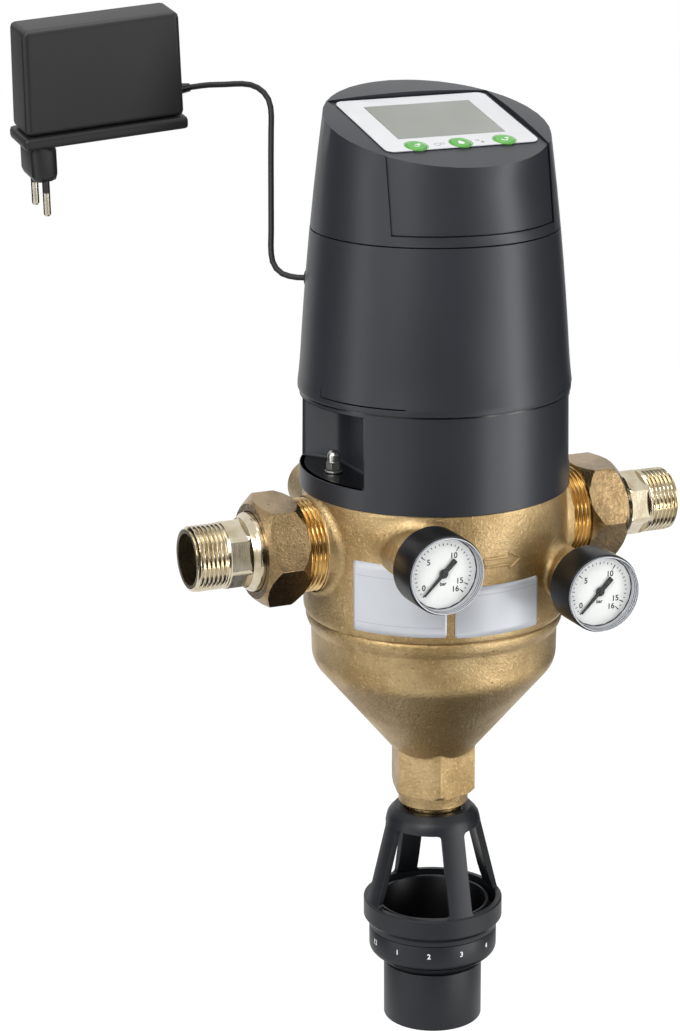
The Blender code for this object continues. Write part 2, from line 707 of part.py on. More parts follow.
def tangent_box(name, angle, half_width, inner, outer, low, high):
    """A box that faces outwards at an angle counted from the front (-Y) towards +X."""
    item = block(name, (-half_width, -outer, low), (half_width, -inner, high))
    item.rotation_euler = (0, 0, math.radians(angle))
    return item


def base_skirt():
    """The foot of the drive: a drum with a niche at each side for the fastening nuts."""
    def outer(height):
        share = (height - SKIRT_BOTTOM) / (SKIRT_TOP - SKIRT_BOTTOM)
        return SKIRT_BOTTOM_RADIUS + (SKIRT_TOP_RADIUS - SKIRT_BOTTOM_RADIUS) * share

    upstand = hood_radius(HOOD_BOTTOM) - HOOD_WALL - GAP
    top = SKIRT_TOP + UPSTAND
    skirt = turned("base_skirt", [
        (0, top), (upstand - 0.6, top), (upstand, top - 0.6), (upstand, SKIRT_TOP),
        (outer(SKIRT_TOP), SKIRT_TOP), (outer(SKIRT_BOTTOM), SKIRT_BOTTOM), (0, SKIRT_BOTTOM)],
        PARTS, "anthracite", 40)
    inner = upstand - 2.2
    room = turned("skirt_room", [(0, top + 1), (inner, top + 1), (inner, SKIRT_FLOOR_TOP),
                                 (0, SKIRT_FLOOR_TOP)], steps=40)
    walls, niches, holes = [], [], []
    for side in (-1, 1):
        centre = (side * (NICHE_BACK + NICHE_RADIUS), 0)
        walls.append(rod(f"niche_wall_{side}", NICHE_RADIUS + NICHE_WALL, SKIRT_FLOOR_TOP - 2,
                         SKIRT_TOP, centre, sides=52))
        niches.append(rod(f"niche_{side}", NICHE_RADIUS, SKIRT_FLOOR_TOP, NICHE_TOP, centre,
                          sides=52))
        holes.append(rod(f"skirt_hole_{side}", STUD_RADIUS + GAP, SKIRT_BOTTOM - 1,
                         SKIRT_FLOOR_TOP + 1, (side * STUD_X, 0), sides=12))
    cut(room, *walls)
    lower = rod("skirt_relief", BONNET_FLANGE_RADIUS + 1.0, SKIRT_BOTTOM - 1, FLANGE_TOP + GAP,
                sides=26)
    middle = rod("skirt_opening", BONNET_DOME_RADIUS + 0.6, FLANGE_TOP, SKIRT_FLOOR_TOP + 1,
                 sides=26)
    cut(skirt, room, lower, middle, *niches, *holes)
    tab = turned("latch_land", [
        (inner, LATCH_TOP - GAP), (LIP_RADIUS - 0.3, LATCH_TOP - GAP),
        (LIP_RADIUS - 0.3, SKIRT_TOP - 1), (inner, SKIRT_TOP - 1)], steps=40, ring=True)
    keep(tab, tangent_box("latch_land_size", LATCH_ANGLE, LATCH_HALF_WIDTH - GAP,
                          40, 80, SKIRT_TOP - 2, LATCH_TOP + 2))
    return join(skirt, tab)


def stud(name, side):
    return rod(name, STUD_RADIUS, BONNET_BOTTOM + GAP, STUD_TOP, (side * STUD_X, 0),
               group=PARTS, finish="steel", sides=12)


def washer(name, side):
    low = SKIRT_FLOOR_TOP + GAP
    piece = rod(name, WASHER_RADIUS, low, low + WASHER_THICKNESS, (side * STUD_X, 0),
                group=PARTS, finish="steel", sides=16)
    return cut(piece, rod(f"{name}_hole", STUD_RADIUS + GAP, low - 1, low + 3,
                          (side * STUD_X, 0), sides=12))


def cap_nut(name, side):
    low = SKIRT_FLOOR_TOP + 2 * GAP + WASHER_THICKNESS
    corner = CAP_NUT_FLATS / 2 / cos(30)
    dome = CAP_NUT_FLATS / 2 - 0.25
    top = low + CAP_NUT_HEIGHT
    shoulder = low + CAP_NUT_HEX
    nut = rod(name, corner, low, shoulder, (side * STUD_X, 0), group=PARTS, finish="steel",
              sides=6, turn=20)
    crown = turned(f"{name}_crown", [(0, top), *arc((0, top - dome), dome, 80, 0, 4),
                                     (dome, shoulder - 1), (0, shoulder - 1)], steps=12)
    crown.location = (side * STUD_X * MM, 0, 0)
    join(nut, crown)
    return cut(nut, rod(f"{name}_bore", STUD_RADIUS + GAP, low - 1, STUD_TOP + GAP,
                        (side * STUD_X, 0), sides=12))


# Hood and control head
def hood_radius(height):
    """Outer radius of the moulded hood: a straight draft with a slight barrel."""
    rise = height - HOOD_BASE_HEIGHT
    return HOOD_BASE_RADIUS - HOOD_DRAFT * rise - HOOD_CURVE * max(rise, 0) * rise


def hood_side(low, high, inset, count):
    """Points down the hood's side from high to low, a wall's thickness inside it."""
    heights = [high + (low - high) * i / count for i in range(count + 1)]
    return [(hood_radius(height) - inset, height) for height in heights]


def hood_shell():
    outside = hood_side(HOOD_BASE_HEIGHT, HOOD_TOP, 0, 4)
    inside = list(reversed(hood_side(HOOD_BOTTOM, HOOD_TOP, HOOD_WALL, 2)))
    shell = turned("hood_shell", [
        *outside, (LIP_RADIUS - 0.15, HOOD_BASE_HEIGHT - 3.2), (LIP_RADIUS, HOOD_BASE_HEIGHT - 4.4),
        (LIP_RADIUS, HOOD_BOTTOM + 0.5), (LIP_RADIUS - 0.5, HOOD_BOTTOM), *inside],
        PARTS, "anthracite", 40, ring=True)
    notch = tangent_box("latch_notch", LATCH_ANGLE, LATCH_HALF_WIDTH, 40, 80, HOOD_BOTTOM - 2,
                        LATCH_TOP)
    slit = tangent_box("latch_slit", -LATCH_ANGLE, LATCH_HALF_WIDTH, 40, 80,
                       LATCH_TOP - SLIT_WIDTH, LATCH_TOP)
    slit_angle = -LATCH_ANGLE - math.degrees(math.asin(LATCH_HALF_WIDTH / LIP_RADIUS))
    riser = tangent_box("latch_riser", slit_angle, SLIT_WIDTH / 2, 40, 80,
                        LATCH_TOP - SLIT_WIDTH / 2, LATCH_TOP + SLIT_HEIGHT)
    hole = tangent_box("cord_hole", GROMMET_ANGLE, GROMMET_RADIUS + GAP, 40, 80,
                       GROMMET_Z - GROMMET_RADIUS - GAP, GROMMET_Z + GROMMET_RADIUS + GAP)
    return cut(shell, notch, slit, riser, hole)


PANEL_FRAME = (Matrix.Translation(Vector((0, PANEL_CENTRE_Y, PANEL_CENTRE_Z)) * MM)
               @ Matrix.Rotation(math.radians(PANEL_TILT), 4, "X"))


def on_panel(item):
    """Places an item that was made about the panel's own centre, with its face at height 0."""
    item.matrix_world = PANEL_FRAME
    return item


def head_form(name, inset, drop, low, group=None, finish=None, steps=STEPS):
    """The head's outer form, drawn in by an inset and cut off below its sloping face."""
    high = PANEL_CENTRE_Z + CROWN_SPAN * sin(PANEL_TILT) + 10
    side = hood_side(low, high, inset, 3)
    form = turned(name, [(0, high), *side, (0, low)], group, finish, steps)
    half = 2 * CROWN_SPAN
    return cut(form, on_panel(block(f"{name}_slope", (-half, -half, -drop), (half, half, half))))


def crown_cutter():
    """Everything above the head's gently domed top."""
    count = 4
    span = CROWN_SPAN + 12
    dome = [(span * i / count, CROWN_HEIGHT * (1 - (span * i / count / CROWN_SPAN) ** 2))
            for i in range(count, 0, -1)]
    return on_panel(turned("crown_room", [(0, 40), (span, 40), *dome, (0, CROWN_HEIGHT)],
                           steps=28))


HEAD_BOTTOM = HOOD_TOP + HEAD_SEAM
PANEL_TOP = FOIL_THICKNESS + GAP
CHANNEL_DEPTH = PANEL_TOP + PANEL_THICKNESS + GAP
BAND_DEPTH = BAND_INSET + PANEL_THICKNESS - 0.2 + GAP


def behind_panel(name, depth):
    """The room behind the panel's top plate, away from the band that runs down the front."""
    return on_panel(block(name, (-99, -5, -99), (99, 99, -depth)))


def control_head():
    high = PANEL_CENTRE_Z + CROWN_SPAN * sin(PANEL_TILT) + 10
    head = turned("control_head", [(0, high), *hood_side(HEAD_BOTTOM, high, 0, 4),
                                   (0, HEAD_BOTTOM)], PARTS, "anthracite", 40)
    cut(head, crown_cutter())
    spigot_radius = hood_radius(HOOD_TOP) - HOOD_WALL - GAP
    spigot = turned("head_spigot", [
        (0, HEAD_BOTTOM + 1), (spigot_radius, HEAD_BOTTOM + 1),
        (spigot_radius - 0.4, HEAD_BOTTOM - HEAD_SPIGOT_DEPTH), (0, HEAD_BOTTOM - HEAD_SPIGOT_DEPTH)])
    join(head, spigot)
    slab = on_panel(block("recess_slab", (-RECESS_HALF_WIDTH, -2 * CROWN_SPAN, -CROWN_SPAN),
                          (RECESS_HALF_WIDTH, RECESS_REAR, 20)))
    keep(slab, block("above_sill", (-99, -99, RECESS_SILL), (99, 99, 299)))
    cut(slab, behind_panel("recess_rear_limit", CHANNEL_DEPTH))
    cut(slab, head_form("channel_core", BAND_DEPTH, CHANNEL_DEPTH, HEAD_BOTTOM - 3))
    inner = head_form("head_room", HEAD_WALL, CHANNEL_DEPTH + 2.5, HEAD_BOTTOM - 1)
    throat_radius = spigot_radius - HEAD_SPIGOT_WALL - 0.4
    throat = rod("head_throat", throat_radius, HEAD_BOTTOM - HEAD_SPIGOT_DEPTH - 1, HEAD_BOTTOM + 1,
                 sides=STEPS)
    width, length = HEAD_OPENING
    opening = on_panel(block("head_opening", (-width / 2, -length / 2, -CHANNEL_DEPTH - 9),
                             (width / 2, length / 2, 9)))
    return cut(head, slab, inner, throat, opening)


def control_panel():
    """The inset panel that runs over the top and down the front in one moulding."""
    panel = head_form("control_panel", BAND_INSET, PANEL_TOP, RECESS_SILL + 0.6, PARTS,
                      "anthracite", 48)
    keep(panel, on_panel(block("panel_size", (-RECESS_HALF_WIDTH + 0.6, -2 * CROWN_SPAN, -99),
                               (RECESS_HALF_WIDTH - 0.6, RECESS_REAR - 0.6, 20))))
    core = head_form("panel_core", BAND_DEPTH - GAP, PANEL_TOP + PANEL_THICKNESS, RECESS_SILL - 9)
    cut(panel, core, behind_panel("panel_rear_limit", PANEL_TOP + PANEL_THICKNESS))
    pegs = []
    for x in (-1, 1):
        for y in (-1, 1):
            centre = (x * (BOARD_SIZE[0] / 2 - 4), y * (BOARD_SIZE[1] / 2 - 2.5))
            pegs.append(on_panel(rod(f"peg_{x}_{y}", PEG_RADIUS, -BOARD_DEPTH + GAP,
                                     -PANEL_TOP - 0.5, centre, sides=8)))
    join(panel, *pegs)
    tools = [on_panel(rod(f"key_hole_{x}", KEY_RADIUS + GAP, -6, 4, (x, KEY_Y), sides=16))
             for x in KEY_X]
    tools.append(window_cutter("panel_window"))
    return cut(panel, *tools)


def window_cutter(name):
    width, length = SCREEN_GLASS
    return on_panel(block(name, (-width / 2 - GAP, SCREEN_GLASS_Y - length / 2 - GAP, -6),
                          (width / 2 + GAP, SCREEN_GLASS_Y + length / 2 + GAP, 4)))


def display_foil():
    """The thin front foil, a rounded rectangle with a window and three key holes."""
    outline = bpy.data.curves.new("foil_outline", "CURVE")
    outline.dimensions = "2D"
    outline.fill_mode = "BOTH"
    outline.extrude = FOIL_THICKNESS / 2 * MM
    x, y = FOIL_WIDTH / 2 - FOIL_CORNER, FOIL_LENGTH / 2 - FOIL_CORNER
    points = []
    for centre, start in (((x, y), 0), ((-x, y), 90), ((-x, -y), 180), ((x, -y), 270)):
        points += arc(centre, FOIL_CORNER, start, start + 90, 4)
    spline = outline.splines.new("POLY")
    spline.points.add(len(points) - 1)
    for point, (px, py) in zip(spline.points, points):
        point.co = (px * MM, py * MM, 0, 1)
    spline.use_cyclic_u = True
    foil = mesh_of_curve("display_foil", outline, "foil")
    foil.data.transform(Matrix.Translation((0, 0, -FOIL_THICKNESS / 2 * MM)))
    on_panel(foil)
    holes = [on_panel(rod(f"foil_hole_{x}", KEY_RADIUS + GAP, -6, 4, (x, KEY_Y), sides=16))
             for x in KEY_X]
    return cut(foil, window_cutter("foil_window"), *holes)


def mesh_of_curve(name, curve, finish):
    """A solid from a curve with its caps welded on."""
    guide = bpy.data.objects.new(f"{name}_guide", curve)
    bpy.context.scene.collection.objects.link(guide)
    bpy.context.view_layer.update()
    graph = bpy.context.evaluated_depsgraph_get()
    mesh = bpy.data.meshes.new_from_object(guide.evaluated_get(graph))
    bpy.data.objects.remove(guide, do_unlink=True)
    shape = bmesh.new()
    shape.from_mesh(mesh)
    bmesh.ops.remove_doubles(shape, verts=shape.verts, dist=MERGE)
    bpy.data.meshes.remove(mesh)
    return from_bmesh(name, shape, PARTS, finish)


def lcd_screen():
    width, length = SCREEN_GLASS
    low = -BOARD_DEPTH + GAP
    return on_panel(block("lcd_screen", (-width / 2, SCREEN_GLASS_Y - length / 2, low),
                          (width / 2, SCREEN_GLASS_Y + length / 2, -0.1), PARTS, "display"))


def circuit_board():
    width, length = BOARD_SIZE
    return on_panel(block("circuit_board", (-width / 2, -length / 2, -BOARD_DEPTH - BOARD_THICKNESS),
                          (width / 2, length / 2, -BOARD_DEPTH), PARTS, "board_green"))


def key(name, x):
    """A push key; it moves along the panel's normal."""
    flange_top = -PANEL_TOP - PANEL_THICKNESS - GAP
    foot = -BOARD_DEPTH + GAP + KEY_TRAVEL
    cap = turned(name, [
        (0, KEY_RISE), (KEY_RADIUS - 0.4, KEY_RISE), (KEY_RADIUS, KEY_RISE - 0.3),
        (KEY_RADIUS, flange_top), (KEY_RADIUS + KEY_FLANGE, flange_top),
        (KEY_RADIUS + KEY_FLANGE, flange_top - 1.0), (2.0, flange_top - 1.0), (2.0, foot),
        (0, foot)], PARTS, "key_green", 16)
    cap.matrix_world = PANEL_FRAME @ Matrix.Translation(Vector((x, KEY_Y, 0)) * MM)
    return cap


# Drive
FRAME_BOTTOM = BONNET_TOP + GAP
LOWER_PLATE_TOP = FRAME_BOTTOM + FRAME_HEIGHT
UPPER_PLATE_LOW = LOWER_PLATE_TOP + FRAME_ROOM
UPPER_PLATE_TOP = UPPER_PLATE_LOW + FRAME_PLATE
GEAR_LOW = LOWER_PLATE_TOP + (FRAME_ROOM - GEAR_WIDTH) / 2
GEAR_HIGH = GEAR_LOW + GEAR_WIDTH
GEAR_CENTRES = GEAR_MODULE * (WHEEL_TEETH + PINION_TEETH) / 2
SHAFT_TOP = UPPER_PLATE_TOP - 0.5


def drive_frame():
    """Two plates on pillars, standing on the bonnet with a round foot."""
    inner = FRAME_FOOT_RADIUS - FRAME_FOOT_WALL
    under = LOWER_PLATE_TOP - FRAME_PLATE
    bore = SHAFT_RADIUS + GAP
    frame = turned("drive_frame", [
        (bore, LOWER_PLATE_TOP), (FRAME_RADIUS, LOWER_PLATE_TOP), (FRAME_RADIUS, under),
        (FRAME_FOOT_RADIUS, under), (FRAME_FOOT_RADIUS, FRAME_BOTTOM), (inner, FRAME_BOTTOM),
        (inner, under), (bore, under)], PARTS, "steel", 22, ring=True)
    top = turned("frame_top", [
        (bore, UPPER_PLATE_TOP), (TOP_PLATE_RADIUS, UPPER_PLATE_TOP),
        (TOP_PLATE_RADIUS, UPPER_PLATE_LOW), (bore, UPPER_PLATE_LOW)], steps=22, ring=True)
    pillars = [rod(f"pillar_{angle}", PILLAR_RADIUS, LOWER_PLATE_TOP - 1, UPPER_PLATE_LOW + 1,
                   (PILLAR_CIRCLE * cos(angle), PILLAR_CIRCLE * sin(angle)), sides=10)
               for angle in PILLAR_ANGLES]
    join(frame, *pillars, top)
    shaft_room = rod("motor_shaft_hole", MOTOR_SHAFT_RADIUS + GAP + 0.5, UPPER_PLATE_LOW - 1,
                     UPPER_PLATE_TOP + 1, (0, GEAR_CENTRES), sides=12)
    return cut(frame, shaft_room)


def gear_outline(teeth, offset):
    """Points round a gear with involute flanks, as x, y pairs. offset turns it, in degrees."""
    pitch = GEAR_MODULE * teeth / 2
    base = pitch * cos(PRESSURE_ANGLE)
    tip = pitch + GEAR_ADDENDUM * GEAR_MODULE
    root = pitch - GEAR_DEDENDUM * GEAR_MODULE
    pitch_roll = tan(PRESSURE_ANGLE) - math.radians(PRESSURE_ANGLE)
    half = math.pi / (2 * teeth) - GEAR_BACKLASH / 2 / pitch

    def flank(radius):
        spread = math.acos(min(1.0, base / radius))
        return half + pitch_roll - (math.tan(spread) - spread)

    start = max(base, root)
    radii = [root, (start + tip) / 2, tip]
    points = []
    for tooth in range(teeth):
        middle = 2 * math.pi * tooth / teeth + math.radians(offset)
        points += [(radius, middle - flank(max(radius, start))) for radius in radii]
        points += [(radius, middle + flank(max(radius, start))) for radius in reversed(radii)]
    return [(radius * math.cos(angle), radius * math.sin(angle)) for radius, angle in points]


def gear(name, teeth, offset, low, high, finish):
    outline = bpy.data.curves.new(f"{name}_outline", "CURVE")
    outline.dimensions = "2D"
    outline.fill_mode = "BOTH"
    outline.extrude = (high - low) / 2 * MM
    points = gear_outline(teeth, offset)
    spline = outline.splines.new("POLY")
    spline.points.add(len(points) - 1)
    for point, (x, y) in zip(spline.points, points):
        point.co = (x * MM, y * MM, 0, 1)
    spline.use_cyclic_u = True
    item = mesh_of_curve(name, outline, finish)
    item.data.transform(Matrix.Translation((0, 0, (low + high) / 2 * MM)))
    return item


def drive_wheel():
    wheel = gear("drive_wheel", WHEEL_TEETH, 0, GEAR_LOW, GEAR_HIGH, "ivory_plastic")
    return cut(wheel, rod("wheel_bore", SHAFT_RADIUS + GAP, GEAR_LOW - 1, GEAR_HIGH + 1, sides=12))


def motor_pinion():
    """The pinion with its shaft, on the motor's own axis."""
    pinion = gear("motor_pinion", PINION_TEETH, 90 + 180 / PINION_TEETH, GEAR_LOW, GEAR_HIGH,
                  "steel")
    shaft = rod("pinion_shaft", MOTOR_SHAFT_RADIUS, GEAR_LOW - 1, UPPER_PLATE_TOP + 6, sides=10)
    join(pinion, shaft)
    for item in (pinion, shaft):
        item.location = (0, GEAR_CENTRES * MM, 0)
    return pinion


def gear_motor():
    """The motor with its reduction gear in one round case."""
    low = UPPER_PLATE_TOP + GAP
    middle = low + MOTOR_HEIGHT * 0.42
    high = low + MOTOR_HEIGHT
    motor = turned("gear_motor", [
        (0, high), (MOTOR_RADIUS - 4, high), (MOTOR_RADIUS - 2.5, high - 1.5),
        (MOTOR_RADIUS - 2.5, middle), (MOTOR_RADIUS, middle), (MOTOR_RADIUS, low),
        (0, low)], PARTS, "steel", 18)
    motor.location = (0, GEAR_CENTRES * MM, 0)
    bore = rod("motor_bore", MOTOR_SHAFT_RADIUS + GAP, low - 1, UPPER_PLATE_TOP + 6 + 2 * GAP,
               (0, GEAR_CENTRES), sides=10)
    return cut(motor, bore)


# Pressure gauges
GLASS_FRONT = GAUGE_FRONT - GAUGE_LIP - GAP
CASE_FRONT = GLASS_FRONT - GAUGE_GLASS_THICKNESS - GAP
DIAL_BACK = GAUGE_FRONT - DIAL_DEPTH - DIAL_THICKNESS
PIN_END = GAUGE_CASE_BACK + 3.5


def facing_front(item, x, z):
    """Stands a piece turned about Z so that its top faces the front."""
    item.rotation_euler = (math.radians(90), 0, 0)
    item.location = (x * MM, 0, z * MM)
    return item


def gauge(prefix, x, z):
    inner = GAUGE_CASE_RADIUS - GAUGE_WALL
    step = DIAL_BACK - GAP
    back = GAUGE_CASE_BACK
    case = turned(f"{prefix}_gauge_case", [
        (inner, CASE_FRONT), (GAUGE_CASE_RADIUS, CASE_FRONT), (GAUGE_CASE_RADIUS, back + 1.2),
        (GAUGE_CASE_RADIUS - 1.2, back), (1.1, back), (1.1, back + 8), (4, back + 8),
        (4, back + 2), (inner - 1.6, back + 2), (inner - 1.6, step), (inner, step)],
        PARTS, "black_plastic", 22, ring=True)
    dial = turned(f"{prefix}_gauge_dial", [
        (1.3, DIAL_BACK + DIAL_THICKNESS), (inner - GAP, DIAL_BACK + DIAL_THICKNESS),
        (inner - GAP, DIAL_BACK), (1.3, DIAL_BACK)], PARTS, "dial_white", 18, ring=True)
    glass = turned(f"{prefix}_gauge_glass", [
        (0, GLASS_FRONT), (GAUGE_CASE_RADIUS - 0.3, GLASS_FRONT),
        (GAUGE_CASE_RADIUS - 0.3, GLASS_FRONT - GAUGE_GLASS_THICKNESS),
        (0, GLASS_FRONT - GAUGE_GLASS_THICKNESS)], PARTS, "clear", 22)
    lip = GAUGE_CASE_RADIUS - 1.9
    rim = turned(f"{prefix}_gauge_ring", [
        (lip, GAUGE_FRONT), (GAUGE_RADIUS - 0.6, GAUGE_FRONT), (GAUGE_RADIUS, GAUGE_FRONT - 0.7),
        (GAUGE_RADIUS, CASE_FRONT - 2), (GAUGE_CASE_RADIUS + GAP, CASE_FRONT - 2),
        (GAUGE_CASE_RADIUS + GAP, GLASS_FRONT + GAP), (lip, GLASS_FRONT + GAP)],
        PARTS, "clear", 24, ring=True)
    for piece in (case, dial, glass, rim):
        facing_front(piece, x, z)
    stem = rod(f"{prefix}_gauge_stem", TAPPING_RADIUS - GAP, -back + 2,
               -BOSS_END + TAPPING_DEPTH - 1, (x, z), "y", PARTS, "cast_brass", 10)
    join(stem, rod(f"{prefix}_stem_hexagon", GAUGE_HEX / 2 / cos(30), -back + GAP,
                   -BOSS_END - GAP, (x, z), "y", sides=6))
    return gauge_pointer(f"{prefix}_gauge_pointer", x, z)


def gauge_pointer(name, x, z):
    """A pointer with a broad tail. It turns about an axis along Y and rests at zero."""
    low = DIAL_BACK + DIAL_THICKNESS + GAP
    high = low + 1.0
    outline = bpy.data.curves.new(f"{name}_outline", "CURVE")
    outline.dimensions = "2D"
    outline.fill_mode = "BOTH"
    outline.extrude = (high - low) / 2 * MM
    hub = 2.3
    right = [(1.3, -POINTER_TAIL), (1.1, -hub), *arc((0, 0), hub, -55, 55, 4), (0.8, hub),
             (0.35, POINTER_LENGTH)]
    points = right + [(-px, py) for px, py in reversed(right)]
    spline = outline.splines.new("POLY")
    spline.points.add(len(points) - 1)
    for point, (px, py) in zip(spline.points, points):
        point.co = (px * MM, py * MM, 0, 1)
    spline.use_cyclic_u = True
    pointer = mesh_of_curve(name, outline, "black_plastic")
    pointer.data.transform(Matrix.Rotation(math.radians(-POINTER_ZERO), 4, "Z")
                           @ Matrix.Translation((0, 0, (low + high) / 2 * MM)))
    facing_front(pointer, x, z)
    pin = facing_front(turned(f"{name}_pin", [(0, high + 0.5), (1.4, high + 0.5), (1.4, low + 0.2),
                                              (0.8, low + 0.2), (0.8, PIN_END), (0, PIN_END)],
                              steps=6), x, z)
    return join(pointer, pin)


def port_plug(name, x):
    """A hexagon plug in the tapping at the rear of the body."""
    place = (x, REAR_BOSS_Z)
    plug = rod(name, GAUGE_HEX / 2 / cos(30), REAR_BOSS_END + GAP, REAR_BOSS_END + 6, place, "y",
               PARTS, "nickel_brass", 6)
    return join(plug, rod(f"{name}_shank", TAPPING_RADIUS - GAP,
                          REAR_BOSS_END - TAPPING_DEPTH + 1, REAR_BOSS_END + 2, place, "y",
                          sides=10))


# Drain funnel
def drain_funnel():
    """Collar, four legs round the air gap, and the ring that holds the bowl."""
    bore = NIPPLE_RADIUS + GAP
    funnel = turned("drain_funnel", [
        (SPIGOT_RADIUS - 1.5, COLLAR_TOP), (COLLAR_TOP_RADIUS, COLLAR_TOP),
        (COLLAR_RADIUS - 1.0, COLLAR_TOP - 3.0), (COLLAR_RADIUS, COLLAR_TOP - 6.0),
        (COLLAR_RADIUS + 0.9, COLLAR_BOTTOM), (COLLAR_RADIUS + 0.9 - COLLAR_WALL, COLLAR_BOTTOM),
        (bore, COLLAR_TOP - 6.5), (bore, COLLAR_TOP - 0.8)], PARTS, "anthracite", 24, ring=True)
    ring = turned("funnel_ring", [
        (CUP_RIM_RADIUS, FUNNEL_RING_TOP - 1.6), (FUNNEL_RING_RADIUS - 0.8, FUNNEL_RING_TOP),
        (FUNNEL_RING_RADIUS, FUNNEL_RING_TOP - 1.0),
        (FUNNEL_RING_RADIUS, FUNNEL_RING_BOTTOM + FUNNEL_RING_CHAMFER),
        (FUNNEL_RING_RADIUS - 2.2, FUNNEL_RING_BOTTOM),
        (CUP_RIM_RADIUS - 2.0, FUNNEL_RING_BOTTOM)], steps=24, ring=True)
    legs = [funnel_leg(f"leg_{quarter}", 90 * quarter) for quarter in range(4)]
    return join(funnel, *legs, ring)


def funnel_leg(name, angle):
    """A flat leg that widens the funnel from the collar to the ring."""
    shape = bmesh.new()
    bmesh.ops.create_cube(shape, size=1.0)
    top_radius = COLLAR_RADIUS + 0.7
    for vert in shape.verts:
        upper = vert.co.z > 0
        outer = vert.co.x > 0
        radius = top_radius if upper else LEG_FOOT_RADIUS
        vert.co.x = (radius if outer else radius - LEG_THICKNESS) * MM
        vert.co.y = math.copysign(LEG_WIDTH / 2 * MM, vert.co.y)
        vert.co.z = (COLLAR_BOTTOM + 2 if upper else FUNNEL_RING_TOP - 3) * MM
    bmesh.ops.rotate(shape, matrix=Matrix.Rotation(math.radians(angle), 3, "Z"), verts=shape.verts)
    return from_bmesh(name, shape, CUTTERS, None)


MONTH_RING_TOP = FUNNEL_RING_BOTTOM - GAP
MONTH_RING_BOTTOM = MONTH_RING_TOP - MONTH_RING_HEIGHT


def month_ring():
    inner = MONTH_RING_RADIUS - MONTH_RING_WALL
    return turned("month_ring", [
        (inner, MONTH_RING_TOP), (MONTH_RING_RADIUS, MONTH_RING_TOP),
        (MONTH_RING_RADIUS, MONTH_RING_BOTTOM), (inner, MONTH_RING_BOTTOM)],
        PARTS, "anthracite", 24, ring=True)


def drain_bowl():
    """The bowl below the air gap: its neck holds the turning ring, and its foot is the outlet."""
    neck = MONTH_RING_RADIUS - MONTH_RING_WALL - GAP
    shoulder = MONTH_RING_BOTTOM - GAP
    rim = CUP_RIM_RADIUS - 2.0 - GAP
    low = shoulder - BOWL_TURN
    width = MONTH_RING_RADIUS - OUTLET_RADIUS
    turn_points = [(OUTLET_RADIUS + width * cos(angle), shoulder - BOWL_TURN * sin(angle))
                   for angle in (0, 30, 60, 90)]
    hollow = [(OUTLET_RADIUS - BOWL_WALL + (neck - OUTLET_RADIUS) * cos(angle),
               shoulder + 2 - BOWL_TURN * sin(angle)) for angle in (90, 45, 0)]
    return turned("drain_bowl", [
        (neck - BOWL_WALL, FUNNEL_RING_TOP - 4), (min(rim, neck), FUNNEL_RING_TOP - 4),
        (min(rim, neck), FUNNEL_RING_BOTTOM), (neck, MONTH_RING_TOP), (neck, shoulder),
        *turn_points, (OUTLET_RADIUS, low - 1), (OUTLET_RADIUS - 0.2, OUTLET_END),
        (OUTLET_RADIUS - BOWL_WALL, OUTLET_END), *hollow], PARTS, "anthracite", 24, ring=True)


# Power supply and cord
ADAPTER_PLACE = (Matrix.Translation(Vector(ADAPTER_CENTRE) * MM)
                 @ Matrix.Rotation(math.radians(-ADAPTER_ROLL), 4, "Y")
                 @ Matrix.Rotation(math.radians(ADAPTER_TILT), 4, "X"))


def on_adapter(item):
    item.matrix_world = ADAPTER_PLACE
    return item


def adapter_housing():
    x, y, z = (size / 2 for size in ADAPTER_SIZE)
    housing = block("adapter_housing", (-x, -y, -z), (x, y, z), PARTS, "black_plastic")
    for corner in housing.data.vertices:
        if corner.co.z > 0:
            corner.co.x *= ADAPTER_DRAFT
            corner.co.y *= ADAPTER_DRAFT
    return on_adapter(soften(housing, ADAPTER_ROUND, 3))


def adapter_base():
    """The lower half with the plug head."""
    x, y = ADAPTER_BASE[0] / 2, ADAPTER_BASE[1] / 2
    top = -ADAPTER_SIZE[2] / 2 - GAP
    low = top - ADAPTER_BASE[2]
    base = block("adapter_base", (-x, -y, low), (x, y, top), PARTS, "black_plastic")
    soften(base, 2.0, 2)
    head_x, head_y = PLUG_HEAD[0] / 2, PLUG_HEAD[1] / 2
    head = block("plug_head", (PLUG_HEAD_X - head_x, -head_y, low - PLUG_HEAD[2]),
                 (PLUG_HEAD_X + head_x, head_y, low + 2))
    soften(head, 4.0, 2)
    join(base, on_adapter(head))
    for side in (-1, 1):
        socket = rod(f"pin_socket_{side}", PIN_RADIUS + GAP, low - PLUG_HEAD[2] - 1,
                     low - PLUG_HEAD[2] + 5, (PLUG_HEAD_X, side * PIN_SPACING / 2), sides=12)
        cut(base, on_adapter(socket))
    return on_adapter(base)


def plug_pin(name, side):
    face = -ADAPTER_SIZE[2] / 2 - GAP - ADAPTER_BASE[2] - PLUG_HEAD[2]
    pin = turned(name, [
        (0, face + 4.5), (PIN_RADIUS, face + 4.5), (PIN_RADIUS, face - PIN_LENGTH + 1.5),
        (PIN_RADIUS * 0.7, face - PIN_LENGTH + 0.4), (0, face - PIN_LENGTH)],
        PARTS, "pin_nickel", 10)
    pin.matrix_world = ADAPTER_PLACE @ Matrix.Translation(
        Vector((PLUG_HEAD_X, side * PIN_SPACING / 2, 0)) * MM)
    return pin


RELIEF_BASE = ADAPTER_PLACE @ (Vector((ADAPTER_SIZE[0] / 2 + GAP, 0, RELIEF_Z)) * MM)
RELIEF_AXIS = (ADAPTER_PLACE.to_3x3() @ Vector((1, 0, 0))).normalized()


